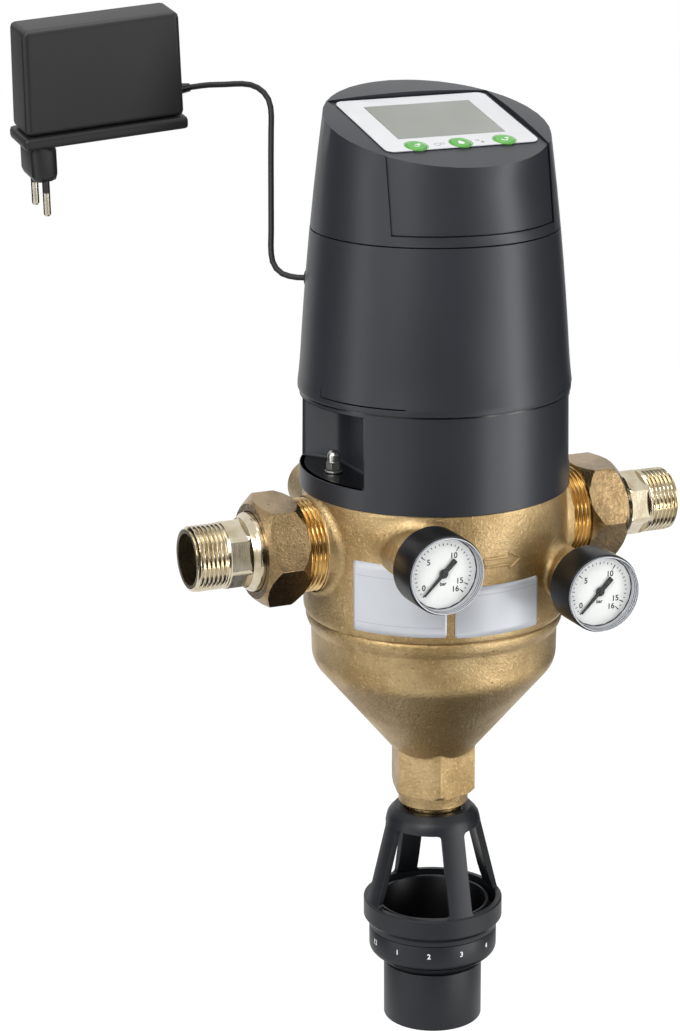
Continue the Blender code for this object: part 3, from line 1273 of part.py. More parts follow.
def adapter_relief():
    """The short ribbed sleeve where the cord leaves the power supply."""
    relief = turned("adapter_relief", [
        (0, RELIEF_LENGTH), (RELIEF_TIP_RADIUS, RELIEF_LENGTH), (RELIEF_RADIUS, 1.5),
        (RELIEF_RADIUS, 0), (0, 0)], PARTS, "black_plastic", 12)
    relief.matrix_world = (Matrix.Translation(RELIEF_BASE)
                           @ RELIEF_AXIS.to_track_quat("Z", "Y").to_matrix().to_4x4())
    return relief


GROMMET_OUT = Vector((sin(GROMMET_ANGLE), -cos(GROMMET_ANGLE), 0))
GROMMET_SKIN = GROMMET_OUT * (hood_radius(GROMMET_Z) + GAP) + Vector((0, 0, GROMMET_Z))


def cord_grommet():
    """The rubber grommet in the hood's wall, made along its own axis and turned outwards."""
    depth = HOOD_WALL + 2
    grommet = turned("cord_grommet", [
        (0, GROMMET_FLANGE), (GROMMET_FLANGE_RADIUS - 0.5, GROMMET_FLANGE),
        (GROMMET_FLANGE_RADIUS, GROMMET_FLANGE - 0.5), (GROMMET_FLANGE_RADIUS, 0),
        (GROMMET_RADIUS, 0), (GROMMET_RADIUS, -depth), (0, -depth)], PARTS, "rubber", 12)
    grommet.matrix_world = (Matrix.Translation(GROMMET_SKIN * MM)
                            @ GROMMET_OUT.to_track_quat("Z", "Y").to_matrix().to_4x4())
    return grommet


def cord_route():
    """The cord's own points from the hood to the power supply, in millimetres."""
    start = GROMMET_SKIN + GROMMET_OUT * (GROMMET_FLANGE + GAP)
    end = RELIEF_BASE / MM + RELIEF_AXIS * (RELIEF_LENGTH + GAP)
    inner = [start + GROMMET_OUT * 5]
    middle = [Vector(point) for point in CORD_POINTS]
    return [start, *inner, *middle, end + RELIEF_AXIS * 9, end + RELIEF_AXIS * 4, end]


CORD_POINTS = (
    (-62.3, 49.5, 128.9), (-64.9, 53.8, 132.6), (-65.1, 57.1, 138.0), (-62.9, 62.2, 149.4),
    (-60.7, 67.3, 160.8), (-58.5, 72.4, 172.2), (-56.3, 77.5, 183.7), (-54.0, 82.6, 195.1),
    (-51.8, 87.7, 206.5), (-52.0, 90.2, 211.4), (-54.2, 93.0, 215.6), (-58.2, 95.5, 218.4),
    (-63.2, 97.4, 219.4), (-72.3, 100.0, 219.3),
)


def smooth_points(points, step):
    """Points along a centripetal curve through the route's points, about a step apart."""
    points = [Vector(point) for point in points]
    ends = [2 * points[0] - points[1], *points, 2 * points[-1] - points[-2]]
    dense = []
    for a, b, c, d in zip(ends, ends[1:], ends[2:], ends[3:]):
        t0 = 0.0
        t1 = t0 + (b - a).length ** 0.5
        t2 = t1 + (c - b).length ** 0.5
        t3 = t2 + (d - c).length ** 0.5
        for i in range(12):
            t = t1 + (t2 - t1) * i / 12
            ab = a * ((t1 - t) / (t1 - t0)) + b * ((t - t0) / (t1 - t0))
            bc = b * ((t2 - t) / (t2 - t1)) + c * ((t - t1) / (t2 - t1))
            cd = c * ((t3 - t) / (t3 - t2)) + d * ((t - t2) / (t3 - t2))
            left = ab * ((t2 - t) / (t2 - t0)) + bc * ((t - t0) / (t2 - t0))
            right = bc * ((t3 - t) / (t3 - t1)) + cd * ((t - t1) / (t3 - t1))
            dense.append(left * ((t2 - t) / (t2 - t1)) + right * ((t - t1) / (t2 - t1)))
    dense.append(points[-1])
    spaced = [dense[0]]
    for point in dense[1:-1]:
        if (point - spaced[-1]).length >= step and (point - dense[-1]).length > step / 2:
            spaced.append(point)
    return spaced + [dense[-1]]


def power_cord():
    curve = bpy.data.curves.new("power_cord", "CURVE")
    curve.dimensions = "3D"
    curve.bevel_depth = CORD_RADIUS * MM
    curve.bevel_resolution = 1
    curve.use_fill_caps = True
    points = smooth_points(cord_route(), CORD_STEP)
    spline = curve.splines.new("POLY")
    spline.points.add(len(points) - 1)
    for point, place in zip(spline.points, points):
        point.co = (*(place * MM), 1)
    cord = bpy.data.objects.new("power_cord", curve)
    PARTS.objects.link(cord)
    colour, roughness, metallic = FINISHES["rubber"]
    curve.materials.append(finish_material("rubber", colour, roughness, metallic))
    return cord


def build():
    body_casting()
    for name, side, edge in (("inlet", -1, NUT_EDGE_ANGLES[0]), ("outlet", 1, NUT_EDGE_ANGLES[1])):
        pipe_tail(f"{name}_tail", side)
        gasket(f"{name}_gasket", side)
        union_nut(f"{name}_nut", side, edge)
    bonnet()
    bonnet_seal()
    spindle_bush()
    screen_cage()
    screen_mesh()
    suction_tube()
    rotor_shaft()
    valve_plate("valve_disc", VALVE_DISC_TOP, "ivory_plastic")
    valve_plate("valve_seat", VALVE_SEAT_TOP, "steel")
    base_skirt()
    for name, side in (("left", -1), ("right", 1)):
        stud(f"{name}_stud", side)
        washer(f"{name}_washer", side)
        cap_nut(f"{name}_cap_nut", side)
    hood_shell()
    control_head()
    control_panel()
    display_foil()
    lcd_screen()
    circuit_board()
    for name, x in zip(("left", "middle", "right"), KEY_X):
        key(f"{name}_key", x)
    drive_frame()
    gear_motor()
    drive_wheel()
    motor_pinion()
    for name, x, z, rear_x in zip(("inlet", "outlet"), GAUGE_X, GAUGE_Z, REAR_BOSS_X):
        gauge(name, x, z)
        port_plug(f"{name}_port_plug", rear_x)
    drain_funnel()
    month_ring()
    drain_bowl()
    adapter_housing()
    adapter_base()
    plug_pin("front_plug_pin", -1)
    plug_pin("rear_plug_pin", 1)
    adapter_relief()
    cord_grommet()
    power_cord()


build()
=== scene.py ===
"""Looks of a self cleaning water filter: cast brass body, plastic drive hood, gauges and funnel.

The solids come from the frame. This script gives them materials, and builds the surfaces that need
more than the solids hold: threads, cast fillets, moulded edges, print, labels and the cord.
Lengths are written in millimetres and turned into metres where a mesh is made.
"""

import math

import bmesh
import bpy
import numpy as np
from mathutils import Matrix, Vector


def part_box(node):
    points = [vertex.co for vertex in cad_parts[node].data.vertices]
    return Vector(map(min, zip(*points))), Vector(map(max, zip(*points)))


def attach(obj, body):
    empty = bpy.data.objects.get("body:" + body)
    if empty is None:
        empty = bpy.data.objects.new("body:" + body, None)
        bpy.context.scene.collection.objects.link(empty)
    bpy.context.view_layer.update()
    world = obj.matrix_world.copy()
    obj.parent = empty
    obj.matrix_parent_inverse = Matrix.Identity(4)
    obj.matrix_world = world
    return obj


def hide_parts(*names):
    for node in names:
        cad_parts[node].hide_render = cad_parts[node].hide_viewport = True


bl_info = {
    "name": "Self cleaning filter looks",
    "version": (1, 0, 0),
    "blender": (4, 5, 0),
    "location": "View3D > Sidebar > Filter",
    "description": "Builds the surfaces, materials and stage of a self cleaning water filter",
    "category": "Object",
}

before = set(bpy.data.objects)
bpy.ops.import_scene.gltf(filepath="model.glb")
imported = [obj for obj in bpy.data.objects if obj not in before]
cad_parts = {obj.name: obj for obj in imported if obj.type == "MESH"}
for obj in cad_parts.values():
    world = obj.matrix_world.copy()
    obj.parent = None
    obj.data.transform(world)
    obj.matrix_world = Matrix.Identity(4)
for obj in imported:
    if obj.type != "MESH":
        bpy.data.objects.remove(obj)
MM = 0.001
PIECES = bpy.data.collections.new("filter_pieces")
HELPERS = bpy.data.collections.new("filter_helpers")
FILTER = "filter"
FONT_SIZE_PER_HEIGHT = 1.38


def span(node, axis):
    """Low and high coordinate of a solid along an axis, in millimetres."""
    low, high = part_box(node)
    return low[axis] / MM, high[axis] / MM


# Places read from the solids
TAIL_END = span("outlet_tail", 0)[1]
FLANGE_FACE = span("outlet_tail", 0)[0]
SKIRT_BOTTOM, SKIRT_REACH = span("base_skirt", 2)
HOOD_BOTTOM, HOOD_TOP = span("hood_shell", 2)
BODY_TOP = span("body_casting", 2)[1]
GAUGES = {}
for prefix in ("inlet", "outlet"):
    ring_x, ring_z = span(f"{prefix}_gauge_ring", 0), span(f"{prefix}_gauge_ring", 2)
    GAUGES[prefix] = (sum(ring_x) / 2, sum(ring_z) / 2)
DIAL_FRONT = span("inlet_gauge_dial", 1)[0]

# Cast body
BODY_RADIUS = 67.5
BOWL_RADIUS = 63.4
BOWL_CORNER = -63.3
BOWL_CORNER_ROUND = 14.0
CONE_ANGLE = 40.0
HEX_FOOT_FLATS = 40.35
HEX_FOOT_ANGLE = -15.8
HEX_FOOT_BOTTOM = -141.8
SPIGOT_RADIUS = 18.3
SPIGOT_BOTTOM = -149.3
BORE_RADIUS = 14.0
DRAIN_BORE_RADIUS = 9.0
NECK_ROOT_RADIUS = 24.6
NECK_THREAD_RADIUS = 23.9
NECK_END = 91.9
NECK_FACE = 69.1
NECK_FILLET = 3.0
TAIL_BORE = 13.1
TAIL_THREAD_RADIUS = 16.62
TAIL_FLATS = (30.6, 106.6, 117.5)
BOSS_RADIUS = 12.6
BOSS_END = 66.0
REAR_BOSS = (40.0, 11.5, 13.5, 68.0)
BOSS_FILLET = 6.0
BOSS_FILLET_BELOW = 2.0

# Hood and skirt
HOOD_BASE_HEIGHT = 82.0
HOOD_BASE_RADIUS = 68.5
HOOD_DRAFT = 0.056
HOOD_CURVE = 0.000302
HOOD_WALL = 2.5
LIP_RADIUS = 69.4
LIP_FLARE = 0.74
LIP_FLARE_TOP = 97.0
LIP_FLARE_RISE = 19.0
LATCH_TOP = 79.2
LATCH_ANGLE = 58.5
LATCH_SPREAD = 21.6
SLIT = 0.7
SKIRT_RADII = (69.0, 68.3)
SKIRT_TOP = 75.2
SKIRT_WALL = 3.0
NICHE_FLOOR = 36.0
NICHE_TOP = 72.7
NICHE_HALF_WIDTH = 38.9
NICHE_DEPTH = 43.6
NICHE_FLAT = 19.5
NICHE_SLANT = 0.69
NICHE_CORNER = 1.1

# Drain funnel
COLLAR_TOP = -151.9
COLLAR_LOW = -160.6
FUNNEL_RING_TOP = -203.6
FUNNEL_RING_CHAMFER = -213.8
FUNNEL_RING_STEP = -216.6
FUNNEL_RING_BOTTOM = -219.3
BOWL_TURN = -230.2
TUBE_RIM = -239.6
LEG_WIDTH = 13.0
LEG_THICKNESS = 3.6
TUBE_END = -271.3
FUNNEL_RING_RADIUS = 36.8
MONTH_RING_RADIUS = 33.9
BOWL_FOLD = 4.6
TUBE_RADIUS = 26.1
TUBE_BORE = 23.6

# Control panel, in the panel's own frame
PANEL_CENTRE = (0.0, -1.1, 209.35)
PANEL_TILT = 13.67
KEY_X = (-23.9, -0.1, 23.6)
KEY_Y = -28.6

# Plug pins: their axis, and how far down it their sleeves reach
PIN_AXIS = (-0.0706, -0.1564, 0.9852)
PIN_SLEEVE_LEVEL = 164.5

# Cord route, given as in the solids' source
CORD_RADIUS = 1.5
ADAPTER_LEVEL = 180.0
CORD_POINTS = (
    (-62.3, 49.5, 128.9), (-64.9, 53.8, 132.6), (-65.1, 57.1, 138.0), (-62.9, 62.2, 149.4),
    (-60.7, 67.3, 160.8), (-58.5, 72.4, 172.2), (-56.3, 77.5, 183.7), (-54.0, 82.6, 195.1),
    (-51.8, 87.7, 206.5), (-52.0, 90.2, 211.4), (-54.2, 93.0, 215.6), (-58.2, 95.5, 218.4),
    (-63.2, 97.4, 219.4), (-72.3, 100.0, 219.3),
)


def sin(degrees):
    return math.sin(math.radians(degrees))


def cos(degrees):
    return math.cos(math.radians(degrees))


def chosen(name):
    """A colour of the settings, as values of 0 to 255."""
    return [255 * c for c in getattr(bpy.context.scene.filter_look, name)]


def linear(colour):
    """A colour of 0 to 255 as a linear one of 0 to 1."""
    return [((c / 255 + 0.055) / 1.055) ** 2.4 if c > 10.3 else c / 255 / 12.92 for c in colour]


# Materials
class Shader:
    """A node material with a Principled shader, and short calls that add nodes to it."""

    def __init__(self, name, colour, roughness, metallic=0.0):
        self.material = bpy.data.materials.new(name)
        self.material.use_nodes = True
        self.tree = self.material.node_tree
        self.shader = self.tree.nodes["Principled BSDF"]
        self.colour = (*linear(colour), 1.0)
        self.shader.inputs["Base Color"].default_value = self.colour
        self.shader.inputs["Roughness"].default_value = roughness
        self.shader.inputs["Metallic"].default_value = metallic
        self.place = self.node("TexCoord").outputs["Object"]

    def node(self, kind, **values):
        made = self.tree.nodes.new(f"ShaderNode{kind}")
        for key, value in values.items():
            if hasattr(made, key):
                setattr(made, key, value)
        return made

    def link(self, source, target):
        self.tree.links.new(source, target)

    def stretched(self, scale):
        """Object coordinates scaled by a factor for each axis."""
        made = self.node("Mapping")
        made.inputs["Scale"].default_value = scale
        self.link(self.place, made.inputs["Vector"])
        return made.outputs["Vector"]

    def noise(self, scale, detail=3.0, roughness=0.5, vector=None):
        made = self.node("TexNoise")
        made.inputs["Scale"].default_value = scale
        made.inputs["Detail"].default_value = detail
        made.inputs["Roughness"].default_value = roughness
        self.link(vector or self.place, made.inputs["Vector"])
        return made.outputs["Fac"]

    def ramp(self, source, low, high, from_value, to_value):
        """Maps a value from low..high to from_value..to_value, clamped."""
        made = self.node("MapRange")
        for key, value in (("From Min", low), ("From Max", high), ("To Min", from_value),
                           ("To Max", to_value)):
            made.inputs[key].default_value = value
        self.link(source, made.inputs["Value"])
        return made.outputs["Result"]

    def mix(self, factor, first, second):
        """A colour between two, each a colour of 0 to 255 or a socket."""
        made = self.node("Mix", data_type="RGBA")
        self.link(factor, made.inputs["Factor"])
        for socket, value in ((made.inputs[6], first), (made.inputs[7], second)):
            if isinstance(value, bpy.types.NodeSocket):
                self.link(value, socket)
            else:
                socket.default_value = (*linear(value), 1.0)
        return made.outputs[2]

    def bump(self, height, distance, strength=1.0, normal=None):
        made = self.node("Bump")
        made.inputs["Strength"].default_value = strength
        made.inputs["Distance"].default_value = distance
        self.link(height, made.inputs["Height"])
        if normal is not None:
            self.link(normal, made.inputs["Normal"])
        return made.outputs["Normal"]

    def set(self, name, source):
        self.link(source, self.shader.inputs[name])

    def value(self, name, amount):
        self.shader.inputs[name].default_value = amount


def cast_metal(name, colour, shade, roughness, grain):
    """Bead-blasted cast metal: fine grain, small dark pores, slow colour drifts and painted glints.
    """
    made = Shader(name, colour, roughness, 1.0)
    drift = made.noise(26.0, 5.0, 0.6)
    fine = made.noise(1900.0, 3.0, 0.7)
    coarse = made.noise(620.0, 4.0, 0.65)
    tone = made.mix(made.ramp(drift, 0.38, 0.62, 0.0, 1.0), shade, colour)
    tone = made.mix(made.ramp(fine, 0.3, 0.5, 0.35, 0.0), tone, shade)
    # Painted glints: bright specks lightened into the base colour.
    tone = made.mix(made.ramp(coarse, 0.56, 0.68, 0.0, 0.5), tone,
                    [min(255, c * 1.16) for c in colour])
    pores = made.mix(made.ramp(coarse, 0.30, 0.37, 0.7, 0.0), tone, [c * 0.45 for c in shade])
    made.set("Base Color", pores)
    made.set("Roughness", made.ramp(drift, 0.35, 0.65, roughness + 0.06, roughness - 0.05))
    low = made.bump(coarse, grain * MM, 0.7)
    made.set("Normal", made.bump(fine, grain * 0.45 * MM, 0.6, low))
    return made.material


def turned_metal(name, colour, shade, roughness, axis=0):
    """Machined metal with fine tool lines round an axis."""
    made = Shader(name, colour, roughness, 1.0)
    scale = [60.0, 60.0, 60.0]
    scale[axis] = 2600.0
    lines = made.noise(1.0, 2.0, 0.6, made.stretched(scale))
    drift = made.noise(90.0, 3.0)
    made.set("Base Color", made.mix(made.ramp(drift, 0.35, 0.7, 0.0, 1.0), colour, shade))
    made.set("Roughness", made.ramp(lines, 0.3, 0.7, roughness, roughness + 0.14))
    made.set("Normal", made.bump(lines, 0.02 * MM, 0.35))
    return made.material


def moulded_plastic(name, colour, roughness, grain=0.02, drift=0.06, specular=0.5):
    """Moulded plastic with a fine spark grain and a slight uneven sheen."""
    made = Shader(name, colour, roughness)
    fine = made.noise(2600.0, 2.0, 0.6)
    slow = made.noise(14.0, 2.0)
    darker = [c * (1 - drift) for c in colour]
    lighter = [min(255, c * (1 + drift)) for c in colour]
    made.set("Base Color", made.mix(made.ramp(slow, 0.35, 0.65, 0.0, 1.0), darker, lighter))
    made.set("Roughness", made.ramp(fine, 0.3, 0.7, roughness - 0.05, roughness + 0.07))
    made.set("Normal", made.bump(fine, grain * MM, 0.5))
    made.value("Specular IOR Level", specular)
    return made.material


def satin_film(name, colour, roughness, metallic=0.0):
    """A printed film or label with a faint uneven sheen."""
    made = Shader(name, colour, roughness, metallic)
    cloud = made.noise(45.0, 3.0)
    darker = [c * 0.97 for c in colour]
    made.set("Base Color", made.mix(made.ramp(cloud, 0.35, 0.65, 0.0, 1.0), darker, colour))
    made.set("Roughness", made.ramp(cloud, 0.3, 0.7, roughness - 0.04, roughness + 0.04))
    made.value("Specular IOR Level", 0.4)
    return made.material


def dark_inside(name):
    """Moulded plastic, painted near black on the inner side of the bowl's wall as painted shade."""
    made = Shader(name, (29, 31, 35), 0.36)
    across = made.node("VectorMath", operation="MULTIPLY")
    across.inputs[1].default_value = (1.0, 1.0, 0.0)
    reach = made.node("VectorMath", operation="LENGTH")
    made.link(made.place, across.inputs[0])
    made.link(across.outputs["Vector"], reach.inputs[0])
    # Painted shade: the wall goes near black inside 28.2 mm of the axis and keeps the plastic's own
    # colour outside.
    outer = made.ramp(reach.outputs["Value"], 28.2 * MM, 28.5 * MM, 0.0, 1.0)
    made.set("Base Color", made.mix(outer, (4, 4, 5), (29, 31, 35)))
    made.set("Roughness", made.ramp(made.noise(2600.0, 2.0, 0.6), 0.3, 0.7, 0.34, 0.44))
    made.value("Specular IOR Level", 0.3)
    return made.material


def sleeved_pin(name):
    """A plug pin: black sleeve at the root and bare metal below a level along its axis."""
    made = turned_metal(name, (206, 200, 186), (170, 160, 140), 0.22, 2)
    tree = made.node_tree
    shader = tree.nodes["Principled BSDF"]
    place = tree.nodes.new("ShaderNodeTexCoord")
    level = tree.nodes.new("ShaderNodeVectorMath")
    level.operation = "DOT_PRODUCT"
    level.inputs[1].default_value = PIN_AXIS
    tree.links.new(place.outputs["Object"], level.inputs[0])
    sleeve = tree.nodes.new("ShaderNodeMapRange")
    sleeve.inputs["From Min"].default_value = PIN_SLEEVE_LEVEL * MM
    sleeve.inputs["From Max"].default_value = (PIN_SLEEVE_LEVEL + 0.05) * MM
    tree.links.new(level.outputs["Value"], sleeve.inputs["Value"])
    for socket, dark in (("Base Color", (0.008, 0.008, 0.009, 1)), ("Metallic", 0.0),
                         ("Roughness", 0.4)):
        target = shader.inputs[socket]
        tinted = socket == "Base Color"
        blend = tree.nodes.new("ShaderNodeMix")
        blend.data_type = "RGBA" if tinted else "FLOAT"
        first, second = (6, 7) if tinted else (2, 3)
        if target.is_linked:
            tree.links.new(target.links[0].from_socket, blend.inputs[first])
        else:
            blend.inputs[first].default_value = target.default_value
        blend.inputs[second].default_value = dark
        tree.links.new(sleeve.outputs["Result"], blend.inputs["Factor"])
        tree.links.new(blend.outputs[2 if tinted else 0], target)
    return made


def clear_plastic(name, alpha, roughness):
    """Clear moulded plastic, seen mostly by its reflections."""
    made = Shader(name, (236, 240, 244), roughness)
    wave = made.noise(60.0, 1.0)
    made.set("Roughness", made.ramp(wave, 0.3, 0.7, roughness, roughness + 0.03))
    made.value("Alpha", alpha)
    made.value("Specular IOR Level", 0.8)
    return made.material


MAKERS = {
    "cast_brass": lambda: cast_metal("cast_brass", chosen("brass_colour"), (150, 126, 86),
                                     0.4, 0.6),
    "nut_bronze": lambda: cast_metal("nut_bronze", (158, 134, 98), (96, 78, 52), 0.26, 0.2),
    "neck_brass": lambda: turned_metal("neck_brass", (220, 188, 128), (180, 144, 86), 0.2),
    "nickel_brass": lambda: turned_metal("nickel_brass", (214, 204, 182), (182, 168, 138), 0.12),
    "steel": lambda: turned_metal("steel", (196, 196, 192), (160, 160, 156), 0.26, 2),
    "anthracite": lambda: moulded_plastic("anthracite", chosen("hood_colour"), 0.38, 0.02,
                                          0.04, 0.36),
    "black_plastic": lambda: moulded_plastic("black_plastic", (14, 14, 15), 0.3, 0.01, 0.04, 0.3),
    "adapter_black": lambda: moulded_plastic("adapter_black", (31, 31, 31), 0.42, 0.05,
                                             0.06, 0.3),
    "pointer_black": lambda: moulded_plastic("pointer_black", (10, 10, 11), 0.45, 0.006, 0.0, 0.2),
    "print_black": lambda: moulded_plastic("print_black", (8, 8, 9), 0.6, 0.0, 0.0, 0.1),
    "print_grey": lambda: moulded_plastic("print_grey", (150, 152, 156), 0.6, 0.0),
    "print_white": lambda: moulded_plastic("print_white", (226, 228, 230), 0.5, 0.0),
    "foil": lambda: satin_film("foil", (206, 207, 209), 0.4),
    "label": lambda: satin_film("label", (182, 185, 190), 0.38, 0.2),
    "dial_white": lambda: moulded_plastic("dial_white", (214, 215, 213), 0.5, 0.004, 0.01, 0.2),
    "display": lambda: moulded_plastic("display", (134, 137, 130), 0.2, 0.0, 0.06, 0.25),
    "key_green": lambda: moulded_plastic("key_green", chosen("key_colour"), 0.34, 0.01, 0.04,
                                         0.35),
    "board_green": lambda: moulded_plastic("board_green", (28, 98, 52), 0.4, 0.02),
    "niche_black": lambda: moulded_plastic("niche_black", (10, 10, 12), 0.26, 0.01, 0.05, 0.4),
    "case_black": lambda: moulded_plastic("case_black", (14, 14, 15), 0.34, 0.012, 0.04, 0.3),
    "liner": lambda: moulded_plastic("liner", (176, 179, 184), 0.16, 0.0, 0.04, 0.6),
    "funnel_black": lambda: moulded_plastic("funnel_black", (25, 27, 31), 0.42, 0.02, 0.05, 0.32),
    "bowl_black": lambda: dark_inside("bowl_black"),
    "rubber": lambda: moulded_plastic("rubber", (24, 24, 25), 0.5, 0.03, 0.04, 0.3),
    "ivory_plastic": lambda: moulded_plastic("ivory_plastic", (208, 200, 176), 0.45, 0.02),
    "glass": lambda: clear_plastic("glass", 0.01, 0.16),
    "clear": lambda: clear_plastic("clear", 0.09, 0.05),
    # Painted shade lines for the gauges' clear rings.
    "ring_edge": lambda: moulded_plastic("ring_edge", (34, 35, 37), 0.2, 0.0, 0.02, 0.6),
    "pin_nickel": lambda: sleeved_pin("pin_nickel"),
}
MADE = {}


def finish(name):
    if name not in MADE:
        MADE[name] = MAKERS[name]()
    return MADE[name]


# Mesh helpers
def mesh_piece(name, points, faces, material, body=FILTER, sharp=38, slot=None):
    """Makes a piece from points in millimetres and faces, and lets it ride on a body."""
    mesh = bpy.data.meshes.new(name)
    mesh.from_pydata((np.asarray(points) * MM).tolist(), [], np.asarray(faces).tolist()
                     if isinstance(faces, np.ndarray) else faces)
    mesh.update()
    mesh.materials.append(finish(material))
    mesh.shade_smooth()
    mesh.set_sharp_from_angle(angle=math.radians(sharp))
    piece = bpy.data.objects.new(name, mesh)
    PIECES.objects.link(piece)
    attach(piece, body)
    return piece


def grid_faces(rows, columns, close_rows=False, close_columns=True):
    """Quads of a grid of points; either way round can close on itself."""
    i = np.arange(rows if close_rows else rows - 1)[:, None]
    j = np.arange(columns if close_columns else columns - 1)[None, :]
    below, right = (i + 1) % rows, (j + 1) % columns
    quads = np.stack([i * columns + j, below * columns + j, below * columns + right,
                      i * columns + right], axis=-1)
    return quads.reshape(-1, 4)


def polar_grid(radius, height, angle):
    """Points (r sin a, -r cos a, z), with angles counted from the front towards +X."""
    radius, height, angle = np.broadcast_arrays(radius, height, angle)
    turn = np.radians(angle)
    return np.stack([radius * np.sin(turn), -radius * np.cos(turn), height], -1).reshape(-1, 3)


def filleted(profile, radii, count=4):
    """A profile whose corners are rounded. Each corner's arc touches both of its sides."""
    points = []
    total = len(profile)
    for k in range(total):
        here = Vector(profile[k])
        radius = radii[k] if isinstance(radii, (list, tuple)) else radii
        before, after = Vector(profile[k - 1]) - here, Vector(profile[(k + 1) % total]) - here
        if radius <= 0 or before.length < 1e-6 or after.length < 1e-6:
            points.append(tuple(here))
            continue
        a, b = before.normalized(), after.normalized()
        half = a.angle(b) / 2
        if half > math.radians(88) or half < math.radians(2):
            points.append(tuple(here))
            continue
        reach = min(radius / math.tan(half), before.length * 0.49, after.length * 0.49)
        radius = reach * math.tan(half)
        centre = here + (a + b).normalized() * (radius / math.sin(half))
        start, end = here + a * reach - centre, here + b * reach - centre
        for i in range(count + 1):
            t = i / count
            direction = start.slerp(end, t).normalized() * radius
            points.append(tuple(centre + direction))
    return points


def turned(name, profile, material, place=None, steps=96, body=FILTER, ring=True, sharp=38,
           slot=None):
    """A surface of revolution: profile points (r, h) turned about h's axis, then placed."""
    profile = np.array(profile, float)
    angle = np.linspace(0, 360, steps, endpoint=False)[None, :]
    points = polar_grid(profile[:, :1], profile[:, 1:], angle)
    if place is not None:
        turn = np.array(place.to_3x3())
        points = points @ turn.T + np.array(place.translation)
    return mesh_piece(name, points, grid_faces(len(profile), steps, ring), material, body, sharp,
                      slot)


def dress(node, material, bevel=0.0, segments=2, angle=32):
    """Gives a solid of the frame its material, welded smooth shading and soft edges."""
    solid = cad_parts[node]
    solid.data.materials.clear()
    solid.data.materials.append(finish(material))
    solid.data.polygons.foreach_set("use_smooth", np.ones(len(solid.data.polygons), bool))
    weld = solid.modifiers.new("weld", "WELD")
    weld.merge_threshold = 0.000005
    if bevel:
        edge = solid.modifiers.new("edges", "BEVEL")
        edge.width = bevel * MM
        edge.segments = segments
        edge.limit_method = "ANGLE"
        edge.angle_limit = math.radians(angle)
        edge.use_clamp_overlap = True
        edge.harden_normals = False
    smooth_normals(solid)
    return solid


def smooth_normals(piece):
    normals = piece.modifiers.new("normals", "WEIGHTED_NORMAL")
    normals.keep_sharp = True
    normals.weight = 80


def flat_text(name, words, size, place, material, body=FILTER, depth=0.05, bold=0.07):
    """Plain figures as a thin mesh; size is the letter height and place a matrix."""
    curve = bpy.data.curves.new(name, "FONT")
    curve.body = words
    curve.size = size * MM * FONT_SIZE_PER_HEIGHT
    curve.align_x = "CENTER"
    curve.align_y = "CENTER"
    curve.extrude = depth / 2 * MM
    curve.offset = bold * MM
    guide = bpy.data.objects.new(f"{name}_guide", curve)
    HELPERS.objects.link(guide)
    bpy.context.view_layer.update()
    graph = bpy.context.evaluated_depsgraph_get()
    mesh = bpy.data.meshes.new_from_object(guide.evaluated_get(graph))
    bpy.data.objects.remove(guide, do_unlink=True)
    mesh.transform(place)
    mesh.materials.clear()
    mesh.materials.append(finish(material))
    piece = bpy.data.objects.new(name, mesh)
    PIECES.objects.link(piece)
    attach(piece, body)
    return piece


def join_pieces(name, pieces):
    """Joins meshes that ride on one body into the first, with one name."""
    first = pieces[0]
    shape = bmesh.new()
    for piece in pieces:
        shape.from_mesh(piece.data)
    shape.to_mesh(first.data)
    shape.free()
    for piece in pieces[1:]:
        bpy.data.objects.remove(piece, do_unlink=True)
    first.name = name
    return first


# Cast brass body
def body_radius(angle, height):
    """The cast body's radius at an angle and height.

    A drum with a ledge and a bead, then the bowl's round corner of radius R, then a cone of
    half angle 40 degrees. Near the foot r = max(cone, hexagon), with the hexagon
    r = flats / 2 / cos(a mod 60), whose lower corners are cut by a cone.
    """
    drum = np.interp(height, DRUM_HEIGHTS, DRUM_RADII)
    side = (angle - HEX_FOOT_ANGLE + 30) % 60 - 30
    hexagon = HEX_FOOT_FLATS / 2 / np.cos(np.radians(30 - np.abs(side)))
    chamfer = 21.6 + (height - HEX_FOOT_BOTTOM) * 0.9
    hexagon = np.minimum(hexagon, chamfer)
    inside = (height >= HEX_FOOT_BOTTOM) & (height < -80)
    return np.where(inside, np.maximum(drum, hexagon), drum)


def drum_profile():
    """Heights and radii of the turned form, from the foot up, for np.interp."""
    corner = [(BOWL_RADIUS - BOWL_CORNER_ROUND + BOWL_CORNER_ROUND * cos(a),
               BOWL_CORNER - BOWL_CORNER_ROUND * sin(a)) for a in np.linspace(0, CONE_ANGLE, 8)]
    low_radius, low_height = corner[-1]
    slope = math.tan(math.radians(CONE_ANGLE))
    top = BODY_TOP
    down = [
        (BODY_RADIUS - 0.7, top), (BODY_RADIUS - 0.2, top - 0.2), (BODY_RADIUS, top - 0.8),
        (BODY_RADIUS, -37.6), (67.3, -39.4), (66.7, -40.9), (66.2, -41.4), (65.7, -41.6),
        (65.9, -41.9), (66.3, -42.6), (66.35, -43.8), (66.0, -45.6), (65.2, -47.6), (64.2, -49.3),
        (63.6, -50.5), *corner, (20.5, low_height - (low_radius - 20.5) / slope),
        (18.6, HEX_FOOT_BOTTOM), (SPIGOT_RADIUS, HEX_FOOT_BOTTOM - 0.5),
        (SPIGOT_RADIUS, SPIGOT_BOTTOM + 0.8), (SPIGOT_RADIUS - 0.8, SPIGOT_BOTTOM)]
    up = list(reversed(down))
    return np.array([h for _, h in up]), np.array([r for r, _ in up])


DRUM_HEIGHTS, DRUM_RADII = drum_profile()


